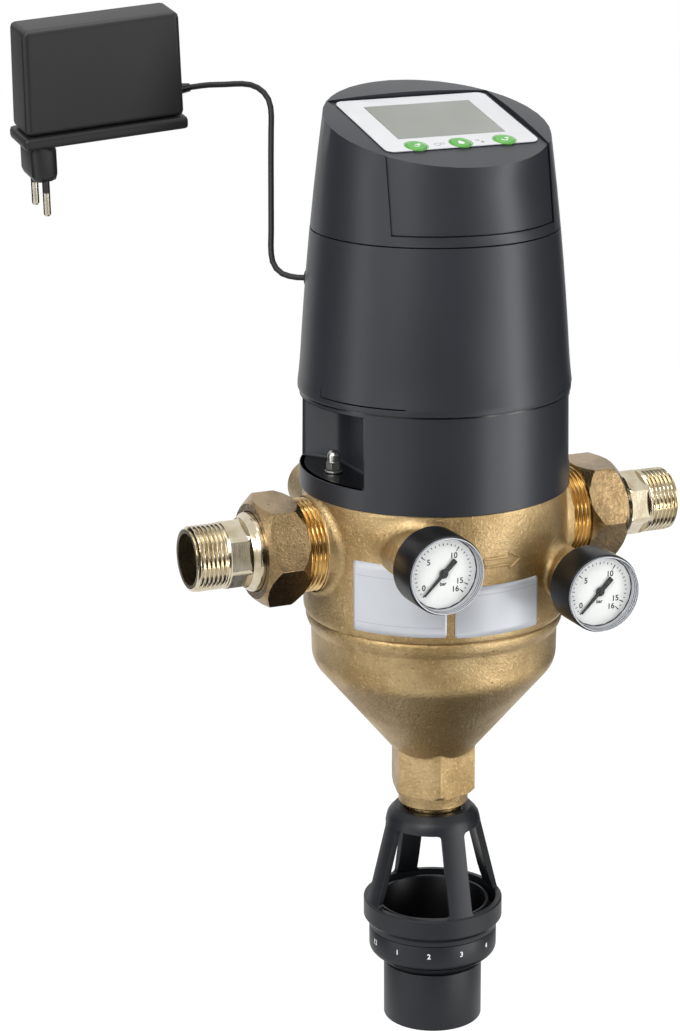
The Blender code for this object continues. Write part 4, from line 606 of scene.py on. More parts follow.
def body_surface():
    """The body's outer skin as a height field over angle and height, closed with flat caps."""
    fine = np.concatenate([
        np.linspace(BODY_TOP, -37.6, 26), DRUM_HEIGHTS[(DRUM_HEIGHTS < -37.6)
                                                        & (DRUM_HEIGHTS > -80)],
        np.linspace(-76, -104, 16), np.linspace(-104, HEX_FOOT_BOTTOM, 60),
        DRUM_HEIGHTS[DRUM_HEIGHTS < HEX_FOOT_BOTTOM],
        [BODY_TOP - 0.2, BODY_TOP - 0.8, HEX_FOOT_BOTTOM - 0.01]])
    heights = np.unique(np.round(fine, 4))[::-1][:, None]
    angles = (HEX_FOOT_ANGLE + np.arange(0, 360, 2.0))[None, :]
    radius = body_radius(angles, heights)
    points = polar_grid(radius, heights, angles)
    faces = grid_faces(len(heights), angles.size).tolist()
    count = angles.size
    faces.append(list(range(count)))
    faces.append([len(points) - count + i for i in range(count - 1, -1, -1)])
    return points, faces


def boss_surface(x, z, radius, end, side, steps=72):
    """A round boss that grows out of the drum with a fillet.

    At a distance q from its axis the drum lies at y = sqrt(R^2 - (x + q cos f)^2). The fillet
    runs q = r + p (1 - sin u) and stands p (1 - cos u) above the drum, for u from 0 to 90.
    """
    turn = np.radians(np.linspace(0, 360, steps, endpoint=False))[None, :]
    u = np.radians(np.linspace(-14, 90, 12))[:, None]
    below = np.clip(0.5 - 1.2 * np.sin(turn), 0, 1)
    fillet = BOSS_FILLET + (BOSS_FILLET_BELOW - BOSS_FILLET) * below
    q = radius + fillet * (1 - np.sin(u))
    lift = fillet * (1 - np.cos(u)) * np.where(u < 0, -1.0, 1.0)
    across = x + q * np.cos(turn)
    drum = np.sqrt(np.maximum(BODY_RADIUS ** 2 - across ** 2, 40.0))
    rows_y = [np.minimum(drum + lift, end - 1.4)]
    rows_x, rows_z = [across], [z + q * np.sin(turn)]
    for inset, back in ((0.0, 1.2), (0.35, 0.35), (1.2, 0.0), (radius - 5.2, 0.0),
                        (radius - 5.0, 14.0)):
        rows_x.append(x + (radius - inset) * np.cos(turn))
        rows_z.append(z + (radius - inset) * np.sin(turn))
        rows_y.append(np.full_like(rows_x[-1], end - back))
    grid = np.stack([np.vstack(rows_x), side * np.vstack(rows_y), np.vstack(rows_z)], -1)
    faces = grid_faces(grid.shape[0], steps)
    return grid.reshape(-1, 3), faces if side < 0 else faces[:, ::-1]


def neck_surface(side, steps=96):
    """The neck's root on the drum, with a small fillet, up to where its thread starts."""
    turn = np.radians(np.linspace(0, 360, steps, endpoint=False))[None, :]
    u = np.radians(np.linspace(-14, 90, 8))[:, None]
    q = NECK_ROOT_RADIUS + NECK_FILLET * (1 - np.sin(u))
    lift = NECK_FILLET * (1 - np.cos(u)) * np.where(u < 0, -1.0, 1.0)
    across = q * np.cos(turn)
    drum = np.sqrt(BODY_RADIUS ** 2 - across ** 2)
    rows_out = [drum + lift]
    rows_a, rows_b = [across], [q * np.sin(turn)]
    for radius, out in ((NECK_ROOT_RADIUS, NECK_FACE - 0.5), (NECK_ROOT_RADIUS - 0.5, NECK_FACE),
                        (NECK_THREAD_RADIUS - 2.1, NECK_FACE)):
        rows_a.append(radius * np.cos(turn))
        rows_b.append(radius * np.sin(turn))
        rows_out.append(np.full_like(rows_a[-1], out))
    grid = np.stack([side * np.vstack(rows_out), np.vstack(rows_a), np.vstack(rows_b)], -1)
    faces = grid_faces(grid.shape[0], steps)
    return grid.reshape(-1, 3), faces if side < 0 else faces[:, ::-1]


def threaded(name, side, stations, bore, pitch, depth, run, material, flats=None, steps=240):
    """A pipe end with a V thread, as a grid over turn and station.

    r = profile(x) - depth (1 - tri((x - pitch t / 360) / pitch)) between run's two ends, where tri
    is a triangle wave; wrench flats cut it to r = flats / 2 / cos(t mod 60).
    """
    xs = np.array([x for _, x in stations])
    low, high = xs.min(), xs.max()
    edges = [end + step for end in (flats or (0, low, high))[1:] for step in (-0.02, 0.02)]
    dense = np.concatenate([xs, np.arange(run[0], run[1], pitch / 9), np.linspace(low, high, 24),
                            edges])
    dense = np.unique(np.round(np.clip(dense, low, high), 4))[:, None]
    turn = np.linspace(0, 360, steps, endpoint=False)[None, :]
    base = np.interp(dense, xs, [r for r, _ in stations])
    phase = ((dense - pitch * turn / 360) / pitch) % 1.0
    wave = 1 - np.clip(np.abs(phase - 0.5) * 2.6 - 0.15, 0, 1)
    fade = np.clip((dense - run[0]) / 1.5, 0, 1) * np.clip((run[1] - dense) / 0.8, 0, 1)
    radius = base - depth * (1 - wave) * fade
    if flats:
        width, start, end = flats
        reach = width / 2 / np.cos(np.radians((turn + 40.5) % 60 - 30))
        radius = np.where((dense >= start) & (dense <= end), np.minimum(radius, reach), radius)
    inner = np.linspace(high, low, 12)[:, None]
    stations_all = np.vstack([np.broadcast_to(dense, (len(dense), 1)), inner])
    radii = np.vstack([radius, np.full((len(inner), steps), bore)])
    angle = np.radians(np.broadcast_to(turn, radii.shape))
    grid = np.stack([side * np.broadcast_to(stations_all, radii.shape), radii * np.cos(angle),
                     radii * np.sin(angle)], -1)
    faces = grid_faces(grid.shape[0], steps, close_rows=True)
    faces = faces if side > 0 else faces[:, ::-1]
    return mesh_piece(name, grid.reshape(-1, 3), faces, material, sharp=20)


def boolean_cut(piece, *tools):
    for tool in tools:
        step = piece.modifiers.new("cut", "BOOLEAN")
        step.object = tool
        step.solver = "EXACT"
    return piece


def cutter_rod(name, radius, start, end, axis):
    shape = bmesh.new()
    bmesh.ops.create_cone(shape, cap_ends=True, segments=64, radius1=radius * MM,
                          radius2=radius * MM, depth=(end - start) * MM)
    turn = {"x": Matrix.Rotation(math.pi / 2, 4, "Y"), "z": Matrix.Identity(4)}[axis]
    middle = {"x": Vector(((start + end) / 2, 0, 0)), "z": Vector((0, 0, (start + end) / 2))}[axis]
    bmesh.ops.transform(shape, matrix=Matrix.Translation(middle * MM) @ turn, verts=shape.verts)
    mesh = bpy.data.meshes.new(name)
    shape.to_mesh(mesh)
    shape.free()
    item = bpy.data.objects.new(name, mesh)
    HELPERS.objects.link(item)
    item.hide_render = True
    item.display_type = "WIRE"
    return item


def build_body(look):
    points, faces = body_surface()
    body = mesh_piece("cast_body", points, faces, "cast_brass", sharp=32, slot="cast_brass")
    boolean_cut(body, cutter_rod("pipe_way", BORE_RADIUS, -80, 80, "x"),
                cutter_rod("drain_way", DRAIN_BORE_RADIUS, -170, -110, "z"))
    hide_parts("body_casting")
    x, z, radius, end = REAR_BOSS
    bosses = {"inlet_boss": (*GAUGES["inlet"], BOSS_RADIUS, BOSS_END, -1),
              "outlet_boss": (*GAUGES["outlet"], BOSS_RADIUS, BOSS_END, -1),
              "inlet_rear_boss": (-x, z, radius, end, 1),
              "outlet_rear_boss": (x, z, radius, end, 1)}
    for name, boss in bosses.items():
        mesh_piece(name, *boss_surface(*boss), "cast_brass", sharp=50, slot="cast_brass")
    for side, name in ((-1, "inlet"), (1, "outlet")):
        mesh_piece(f"{name}_neck_root", *neck_surface(side), "cast_brass", slot="cast_brass")
        threaded(f"{name}_neck_thread", side,
                 [(NECK_THREAD_RADIUS - 1.2, 66.4), (NECK_THREAD_RADIUS, 68.4),
                  (NECK_THREAD_RADIUS, NECK_END - 1), (NECK_THREAD_RADIUS - 1, NECK_END)],
                 BORE_RADIUS, look.thread_pitch / MM, 1.25, (67.5, NECK_END + 2), "neck_brass")
    flow_arrow()


def wrap_on_body(points, radius):
    """Points (s, z, h) laid on the drum: s runs along its skin from the front, h stands off."""
    points = np.asarray(points, float)
    turn = points[:, 0] / radius
    reach = radius + points[:, 2]
    return np.stack([reach * np.sin(turn), -reach * np.cos(turn), points[:, 1]], -1)


def flow_arrow():
    """The cast flow arrow: the outline of an arrow in rounded ridges that stand out of the drum."""
    corners = [(-4.6, 2.0), (9.6, 2.0), (9.6, 4.4), (16.2, 0.0), (9.6, -4.4), (9.6, -2.0),
               (-4.6, -2.0)]
    points, faces = [], []
    for (x0, z0), (x1, z1) in zip(corners, corners[1:] + corners[:1]):
        along = np.linspace(0, 1, 14)[:, None]
        turn = np.radians(np.linspace(-20, 200, 9))[None, :]
        length = math.hypot(x1 - x0, z1 - z0)
        across = (-(z1 - z0) / length, (x1 - x0) / length)
        inside = np.minimum(along, 1 - along) * length
        taper = np.sqrt(np.clip(inside / 0.5 + 0.45, 0, 1))
        offset = 0.75 * np.cos(turn) * taper
        lift = 0.85 * np.sin(turn) * taper - 0.05
        s = x0 + (x1 - x0) * along + across[0] * offset
        z = z0 + (z1 - z0) * along + across[1] * offset
        grid = np.stack(np.broadcast_arrays(s, z, lift), -1).reshape(-1, 3)
        faces.append(grid_faces(14, 9, close_columns=False) + sum(len(p) for p in points))
        points.append(grid)
    mesh_piece("flow_arrow", wrap_on_body(np.vstack(points), BODY_RADIUS), np.vstack(faces),
               "cast_brass", sharp=80, slot="cast_brass")


def label_sheet(name, angles, heights, rules):
    """A bare silver label on the drum with rounded corners and a few thin printed rules."""
    s0, s1 = (math.radians(a) * BODY_RADIUS for a in angles)
    z0, z1 = heights
    corner = 1.2
    columns, rows = 40, 10
    u = np.linspace(0, 1, columns)[None, :]
    v = np.linspace(0, 1, rows)[:, None]
    s = s0 + (s1 - s0) * u + 0 * v
    edge = np.minimum(s - s0, s1 - s)
    pull = np.where(edge < corner, corner - np.sqrt(np.maximum(corner ** 2
                                                              - (corner - edge) ** 2, 0)), 0)
    z = z0 + pull + (z1 - z0 - 2 * pull) * v
    grid = np.stack([s, z, np.full_like(s, 0.16)], -1).reshape(-1, 3)
    sheet = mesh_piece(name, wrap_on_body(grid, BODY_RADIUS),
                       grid_faces(rows, columns, close_columns=False)[:, ::-1], "label")
    shell = sheet.modifiers.new("thickness", "SOLIDIFY")
    shell.thickness = 0.12 * MM
    shell.offset = 0
    bars, bar_faces = [], []
    for a, b, height, width in rules:
        u = np.linspace(s0 + (s1 - s0) * a, s0 + (s1 - s0) * b, 24)[None, :]
        v = np.array([[height - width / 2], [height + width / 2]])
        s, z = np.broadcast_arrays(u, v)
        bar_faces.append(grid_faces(2, 24, close_columns=False)[:, ::-1] + 48 * len(bars))
        bars.append(np.stack([s, z, np.full_like(s, 0.25)], -1).reshape(-1, 3))
    mesh_piece(f"{name}_rules", wrap_on_body(np.vstack(bars), BODY_RADIUS), np.vstack(bar_faces),
               "print_grey")


def build_labels():
    label_sheet("left_label", (-61.6, -19.8), (-37.0, -0.6),
                [(0.04, 0.96, -7.8, 0.25), (0.04, 0.96, -32.0, 0.25)])
    label_sheet("right_label", (-16.3, 24.6), (-37.6, -11.6), [(0.05, 0.95, -16.0, 0.25)])


# Pipe unions
def build_unions(look):
    for side, name in ((-1, "inlet"), (1, "outlet")):
        tail = threaded(
            f"{name}_tail_turned", side,
            [(21.6, FLANGE_FACE), (22.8, FLANGE_FACE + 0.6), (22.8, FLANGE_FACE + 3.4),
             (20.2, FLANGE_FACE + 3.9), (20.0, 103.2), (19.7, 103.8), (18.6, 105.2), (17.3, 107.2),
             (16.95, 107.8), (16.95, 117.4), (16.2, 118.0), (TAIL_THREAD_RADIUS, 119.0),
             (TAIL_THREAD_RADIUS, TAIL_END - 1.4), (15.4, TAIL_END)],
            TAIL_BORE, look.thread_pitch / MM, 1.45, (118.4, TAIL_END + 0.4), "nickel_brass",
            flats=TAIL_FLATS)
        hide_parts(f"{name}_tail")
        dress(f"{name}_nut", "nut_bronze", 0.5, 3)
        dress(f"{name}_gasket", "rubber", 0.2)


# Plastic hood, skirt and niches
def hood_radius(height):
    """The hood's barrelled draft: r = r0 - d h - c h^2, with h above the hood's lip."""
    rise = np.asarray(height, float) - HOOD_BASE_HEIGHT
    return HOOD_BASE_RADIUS - HOOD_DRAFT * rise - HOOD_CURVE * np.maximum(rise, 0) * rise


def shell_grid(name, angles, heights, outer, inner, kept, material, slot, bevel=0.35):
    """A thin wall over angle and height, with windows where kept(angle, height) is False."""
    a, h = np.asarray(angles, float), np.asarray(heights, float)
    grid_a, grid_h = a[None, :], h[:, None]
    middle_a = (a + np.append(a[1:], a[0] + 360)) / 2
    middle_h = (h[1:] + h[:-1]) / 2
    there = kept(middle_a[None, :], middle_h[:, None]) & np.ones((len(h) - 1, len(a)), bool)
    return shell_mesh(name, grid_a, h, outer(grid_a, grid_h), inner(grid_a, grid_h), there,
                      material, slot, bevel)


def shell_mesh(name, angles, heights, outer, inner, there, material, slot, bevel):
    """Two skins of radius outer and inner over a grid of angles and heights.

    there says which cells of the grid are solid. Each side of a solid cell that faces an open one
    gets a wall between the two skins.
    """
    rows, columns = there.shape[0] + 1, there.shape[1]
    grid = np.zeros((rows, columns))
    points = np.vstack([polar_grid(radius + grid, heights[:, None] + grid, angles + grid)
                        for radius in (outer, inner)])
    shift = rows * columns
    i, j = np.nonzero(there)
    k = (j + 1) % columns
    corner = [i * columns + j, (i + 1) * columns + j, (i + 1) * columns + k, i * columns + k]
    faces = [np.stack(corner, 1), np.stack(corner[::-1], 1) + shift]
    padded = np.pad(there, ((1, 1), (0, 0)))
    neighbours = [(padded[:-2], 3, 0), (padded[2:], 1, 2), (np.roll(there, 1, axis=1), 0, 1),
                  (np.roll(there, -1, axis=1), 2, 3)]
    for near, first, second in neighbours:
        open_side = ~near[i, j]
        p, q = corner[first][open_side], corner[second][open_side]
        faces.append(np.stack([q, p, p + shift, q + shift], 1))
    piece = mesh_piece(name, points, np.vstack(faces), material, slot=slot, sharp=30)
    tidy = piece.modifiers.new("weld", "WELD")
    tidy.merge_threshold = 0.000002
    edge = piece.modifiers.new("edges", "BEVEL")
    edge.width = bevel * MM
    edge.segments = 3
    edge.limit_method = "ANGLE"
    edge.angle_limit = math.radians(50)
    smooth_normals(piece)
    return piece


def with_edges(count, start, *edges):
    """Even angles round the circle, with the named edges added."""
    even = start + np.arange(count) * 360.0 / count
    return np.unique(np.round(np.concatenate([even, np.array(edges, float)]), 4))


def build_hood(look):
    slit_low, slit_high = LATCH_TOP - SLIT, LATCH_TOP
    left = (-LATCH_ANGLE - LATCH_SPREAD, -LATCH_ANGLE + LATCH_SPREAD)
    right = (LATCH_ANGLE - LATCH_SPREAD, LATCH_ANGLE + LATCH_SPREAD)
    riser = math.degrees(SLIT / LIP_RADIUS)

    def outer(angle, height):
        flare = LIP_FLARE * np.clip((LIP_FLARE_TOP - height) / LIP_FLARE_RISE, 0, 1) ** 2
        edge = 0.25 * np.clip((HOOD_BOTTOM + 0.5 - height) / 0.5, 0, 1)
        return hood_radius(np.maximum(height, 79.0)) + flare - edge + 0 * angle

    def inner(angle, height):
        return np.minimum(outer(angle, height), hood_radius(height)) - HOOD_WALL

    def kept(angle, height):
        in_left = (angle > left[0]) & (angle < left[1])
        slit = in_left & (height > slit_low) & (height < slit_high)
        rise = (angle > left[0]) & (angle < left[0] + riser) & (height > slit_low)
        notch = (angle > right[0]) & (angle < right[1]) & (height < LATCH_TOP)
        return ~(slit | (rise & (height < LATCH_TOP + 5)) | notch)

    heights = np.unique(np.round(np.concatenate([
        [HOOD_BOTTOM, HOOD_BOTTOM + 0.5, 77.5, slit_low, slit_high, 81.5, LATCH_TOP + 5],
        np.linspace(87, HOOD_TOP, 22)]), 4))[::-1]
    angles = with_edges(180, -180, left[0], left[0] + riser, left[1], *right)
    hood = shell_grid("hood_moulding", angles, heights, outer, inner, kept, "anthracite",
                      "anthracite", look.moulded_edge / MM)
    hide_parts("hood_shell")


def skirt_radius(height):
    """The skirt widens downwards in a straight line between its two radii."""
    return np.interp(height, [SKIRT_BOTTOM, SKIRT_TOP], SKIRT_RADII)


def build_skirt(look):
    half = math.degrees(math.asin(NICHE_HALF_WIDTH / 68.7))
    edges = [-90 - half, -90 + half, 90 - half, 90 + half]
    land = (LATCH_ANGLE - LATCH_SPREAD + 0.3, LATCH_ANGLE + LATCH_SPREAD - 0.3)

    def outer(angle, height):
        return skirt_radius(height) + 0 * angle

    def inner(angle, height):
        return outer(angle, height) - SKIRT_WALL

    def kept(angle, height):
        side = np.abs(np.abs(angle) - 90) < half
        return ~(side & (height > NICHE_FLOOR) & (height < NICHE_TOP))

    heights = np.unique(np.round(np.concatenate([
        [SKIRT_BOTTOM, NICHE_FLOOR, NICHE_TOP, SKIRT_TOP], np.linspace(SKIRT_BOTTOM, NICHE_FLOOR, 4),
        np.linspace(NICHE_FLOOR, NICHE_TOP, 10)]), 4))[::-1]
    skirt = shell_grid("skirt_drum", with_edges(180, -180, *edges), heights, outer, inner, kept,
                       "anthracite", "anthracite", look.moulded_edge / MM)
    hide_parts("base_skirt")
    for side, name in ((-1, "left"), (1, "right")):
        niche(f"{name}_niche", side)
    # A black ring set in the seam between hood and skirt: painted shade, so the seam reads as a dark
    # gap.
    turned("seam_gap", [(66.5, 74.5), (68.42, 74.5), (68.42, HOOD_BOTTOM - 0.02),
                        (66.5, HOOD_BOTTOM - 0.02)], "niche_black", slot="anthracite")
    turned("skirt_upstand", filleted([(60.0, SKIRT_REACH), (65.6, SKIRT_REACH), (65.6, 74.0),
                                      (60.0, 74.0)], 0.4), "anthracite", slot="anthracite")
    angle = np.linspace(*land, 40)[None, :]
    ring = np.array([(64.0, LATCH_TOP - 0.3), (68.5, LATCH_TOP - 0.3), (69.0, LATCH_TOP - 0.7),
                     (69.1, LATCH_TOP - 1.6), (68.9, 75.2), (64.0, 74.6)])
    points = polar_grid(ring[:, :1], ring[:, 1:], angle)
    faces = grid_faces(len(ring), 40, close_rows=True, close_columns=False).tolist()
    faces += [[i * 40 for i in range(len(ring))], [i * 40 + 39 for i in range(len(ring))][::-1]]
    mesh_piece("latch_land", points, faces, "anthracite", slot="anthracite", sharp=50)


def niche(name, side):
    """The niche's back wall and roof as one shell, and its black floor.

    The back is flat, x = b, and turns outwards at y = c along x = b + m w ln(1 + e^((|y| - c) / w)).
    """
    count, round_r = 61, 1.4
    back_y = np.linspace(-NICHE_HALF_WIDTH, NICHE_HALF_WIDTH, count)
    slant = NICHE_CORNER * np.log1p(np.exp((np.abs(back_y) - NICHE_FLAT) / NICHE_CORNER))
    skin = min(SKIRT_RADII)
    back_x = np.minimum(NICHE_DEPTH + NICHE_SLANT * slant, np.sqrt(skin ** 2 - back_y ** 2))
    front_x = np.sqrt(np.maximum((skin + 0.1) ** 2 - back_y ** 2, back_x ** 2 + 0.01))
    foot = np.minimum(back_x + round_r, front_x)
    rows = [(foot, np.full(count, NICHE_FLOOR))]
    for t in np.radians(np.linspace(15, 90, 5)):
        rows.append((back_x + (foot - back_x) * (1 - np.sin(t)),
                     np.full(count, NICHE_FLOOR + round_r * (1 - np.cos(t)))))
    rows += [(back_x, np.full(count, NICHE_TOP)), (front_x, np.full(count, NICHE_TOP))]
    floor = [(front_x, np.full(count, NICHE_FLOOR)), (foot, np.full(count, NICHE_FLOOR))]
    for piece, lines, material in ((name, rows, "anthracite"),
                                   (f"{name}_floor", floor, "niche_black")):
        grid = np.stack([np.stack([side * x, back_y, z], -1) for x, z in lines])
        faces = grid_faces(len(lines), count, close_columns=False)
        mesh_piece(piece, grid.reshape(-1, 3), faces if side > 0 else faces[:, ::-1], material,
                   slot="anthracite", sharp=50)


def build_head(look):
    dress("control_head", "anthracite", look.moulded_edge / MM, 3, 28)
    dress("control_panel", "anthracite", look.moulded_edge / MM, 3, 28)
    for node in ("left_stud", "right_stud", "left_washer", "right_washer"):
        dress(node, "steel", 0.2)
    for node in ("left_cap_nut", "right_cap_nut"):
        dress(node, "steel", 0.25, 3)


# Display foil, keys and print
def panel_place(x, y, lift=0.0):
    turn = Matrix.Rotation(math.radians(PANEL_TILT), 4, "X")
    return (Matrix.Translation(Vector(PANEL_CENTRE) * MM) @ turn
            @ Matrix.Translation(Vector((x, y, lift)) * MM))


def flat_ring(name, x, y, outer, inner, lift, material, body=FILTER, steps=48, start=0, sweep=360,
              thickness=0.06):
    """A flat printed ring or arc on the panel."""
    closed = sweep == 360
    count = steps if closed else steps + 1
    turn = np.radians(start + np.linspace(0, sweep, count, endpoint=not closed))[None, :]
    rows = np.array([inner, outer, outer, inner])[:, None]
    lifts = np.array([0, 0, -thickness, -thickness])[:, None]
    grid = np.stack(np.broadcast_arrays(rows * np.cos(turn), rows * np.sin(turn), lifts), -1)
    place = np.array(panel_place(x, y, lift))
    points = grid.reshape(-1, 3) @ place[:3, :3].T + place[:3, 3] / MM
    faces = grid_faces(4, count, close_rows=True, close_columns=closed)[:, ::-1]
    return mesh_piece(name, points, faces, material, body)


def drop_shape(name, x, y, size, lift, material, body, turn=0.0):
    """A small printed drop: a circle drawn out to a point at one side."""
    t = np.linspace(0, 2 * math.pi, 28, endpoint=False)
    px = size * np.sin(t) * np.sin(t / 2) ** 1.5
    py = size * np.cos(t)
    c, s = math.cos(math.radians(turn)), math.sin(math.radians(turn))
    flat = np.stack([px * c - py * s, px * s + py * c, 0 * t], -1)
    place = np.array(panel_place(x, y, lift))
    points = flat @ place[:3, :3].T + place[:3, 3] / MM
    return mesh_piece(name, points, [list(range(28))[::-1]], material, body)


def build_panel():
    foil = dress("display_foil", "foil", 0.12)
    foil.modifiers["edges"].angle_limit = math.radians(60)
    dress("lcd_screen", "display", 0.1)
    dress("circuit_board", "board_green", 0.1)
    top = 0.34
    for name, x in zip(("left", "middle", "right"), KEY_X):
        dress(f"{name}_key", "key_green", 0.15)
        flat_ring(f"{name}_key_ring", x, KEY_Y, 6.1, 5.45, 0.07, "key_green")
        body = f"{name}_push_key"
        if name == "left":
            flat_ring("left_key_mark", x, KEY_Y, 1.7, 1.05, top, "print_white", body, 20, 200, 260)
            drop_shape("left_key_dot", x + 1.9, KEY_Y + 1.4, 1.0, top, "print_white", body, 40)
        elif name == "middle":
            drop_shape("middle_key_mark", x, KEY_Y, 2.3, top, "print_white", body)
        else:
            flat_ring("right_key_mark", x, KEY_Y, 1.9, 1.2, top, "print_white", body, 20, 180, 180)
            drop_shape("right_key_dot", x + 1.5, KEY_Y + 1.2, 1.1, top, "print_white", body, 90)
    flat_ring("print_mark_a", -12.6, KEY_Y, 1.7, 1.35, 0.07, "print_grey", steps=24)
    flat_ring("print_mark_b", -9.6, KEY_Y + 0.6, 1.1, 0.8, 0.07, "print_grey", steps=24)
    drop_shape("print_mark_c", 11.4, KEY_Y - 0.6, 1.4, 0.05, "print_grey", FILTER)
    flat_ring("print_mark_d", 9.6, KEY_Y + 1.4, 1.0, 0.7, 0.07, "print_grey", steps=24)


# Gauges
DIAL_RIM = 91.6
DIAL_FIGURES = (0, 5, 10, 15, 16)
DIAL_END = 16
TICK_RADIUS = 15.1
CASE_RADIUS = 19.86
CASE_BORE = 19.1
CASE_WELL = 8.0
RING_RADIUS = 19.08


def build_gauges():
    for prefix, (x, z) in GAUGES.items():
        dress(f"{prefix}_gauge_dial", "dial_white", 0.1)
        dress(f"{prefix}_gauge_glass", "glass", 0.2)
        dress(f"{prefix}_gauge_pointer", "pointer_black", 0.15)
        dress(f"{prefix}_gauge_stem", "cast_brass", 0.3)
        place = Matrix.Translation((x, 0, z)) @ Matrix.Rotation(math.radians(90), 4, "X")
        high = -span(f"{prefix}_gauge_ring", 1)[0]
        back = -span(f"{prefix}_gauge_case", 1)[1]
        case = turned(f"{prefix}_case_shell", filleted([
            (CASE_BORE, high - 1.9), (CASE_RADIUS, high - 1.9), (CASE_RADIUS, back + 1.4),
            (18.4, back), (1.2, back), (1.2, back + CASE_WELL), (CASE_BORE, back + CASE_WELL)],
            0.5, 3), "case_black", place, steps=120, slot="black_plastic")
        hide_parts(f"{prefix}_gauge_case")
        ring = turned(f"{prefix}_clear_ring", filleted([
            (17.7, DIAL_RIM), (18.2, DIAL_RIM + 0.5), (18.5, high - 0.5), (18.6, high),
            (18.98, high), (RING_RADIUS, high - 0.4), (RING_RADIUS, high - 2.6),
            (18.8, high - 2.6), (18.6, DIAL_RIM)], 0.06, 2),
            "liner", place, steps=120, slot="clear")
        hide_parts(f"{prefix}_gauge_ring")
        # Thin dark rings on the clear ring: painted shade, standing in for the dark bands that a
        # clear ring shows.
        for count, (radius, where, thick) in enumerate((
                (19.02, high - 1.1, 0.2), (18.56, high - 0.2, 0.15), (18.44, high - 1.7, 0.16),
                (18.36, high - 3.2, 0.16), (17.8, DIAL_RIM + 0.1, 0.2))):
            edge = [(radius + thick * cos(t), where + thick * sin(t)) for t in range(0, 360, 45)]
            turned(f"{prefix}_ring_line_{count + 1}", edge, "ring_edge", place, steps=96, sharp=80)
        dial_print(prefix, x, z)


def dial_angle(value):
    """The pointer's angle from upright for a reading: a = -135 + 270 v / 16."""
    return -135 + 270 * value / DIAL_END


def dial_print(prefix, x, z):
    """Ticks and figures of a scale of 0 to 16 over 270 degrees, and the unit.

    A tick is a strip along the ray at angle a, from its inner to its outer end, with half widths
    given for both ends.
    """
    depth = DIAL_FRONT - 0.06
    value = np.arange(2 * DIAL_END + 1) / 2
    turn = np.radians(dial_angle(value))[:, None]
    long = np.isin(value, DIAL_FIGURES)
    inner = np.where(long, 12.4, np.where(value % 1 == 0, 13.9, 14.3))
    half = np.where(long, 0.34, 0.21)
    tip = np.where(long, 0.14, half)
    outer = np.full_like(inner, TICK_RADIUS)
    reach = np.stack([inner, outer, outer, inner], 1)
    across = np.stack([tip, half, -half, -tip], 1)
    ticks = np.stack(np.broadcast_arrays(x + reach * np.sin(turn) + across * np.cos(turn), depth,
                                         z + reach * np.cos(turn) - across * np.sin(turn)), -1)
    mesh_piece(f"{prefix}_dial_ticks", ticks.reshape(-1, 3),
               np.arange(4 * len(value)).reshape(-1, 4), "print_black")
    figures = []
    for value in DIAL_FIGURES:
        turn, reach = (dial_angle(value), 10.0) if value else (-121, 12.0)
        spot = Vector((x + reach * sin(turn), depth, z + reach * cos(turn)))
        if value == DIAL_END:
            spot += Vector((-0.6, 0, -1.5))
        place = Matrix.Translation(spot * MM) @ Matrix.Rotation(math.radians(90), 4, "X")
        figures.append(flat_text(f"{prefix}_figure_{value}", str(value), 2.9, place, "print_black"))
    place = Matrix.Translation(Vector((x, depth, z - 5.2)) * MM) @ Matrix.Rotation(
        math.radians(90), 4, "X")
    figures.append(flat_text(f"{prefix}_unit", "bar", 1.9, place, "print_black"))
    join_pieces(f"{prefix}_dial_figures", figures)


# Drain funnel
COLLAR = ((COLLAR_LOW, 25.1), (-158.6, 24.7), (-156.4, 24.1), (-154.7, 23.0), (COLLAR_TOP, 20.2))


def funnel_radius(height):
    """The funnel's outer form: a domed collar, then a straight cone down to the ring."""
    heights = [FUNNEL_RING_BOTTOM, FUNNEL_RING_STEP, FUNNEL_RING_STEP + 0.4, FUNNEL_RING_CHAMFER,
               FUNNEL_RING_TOP - 0.6, FUNNEL_RING_TOP, FUNNEL_RING_TOP + 0.2,
               *[h for h, _ in COLLAR]]
    radii = [34.0, 34.1, 35.0, FUNNEL_RING_RADIUS, FUNNEL_RING_RADIUS, 36.2, 35.8,
             *[r for _, r in COLLAR]]
    return np.interp(height, heights, radii)


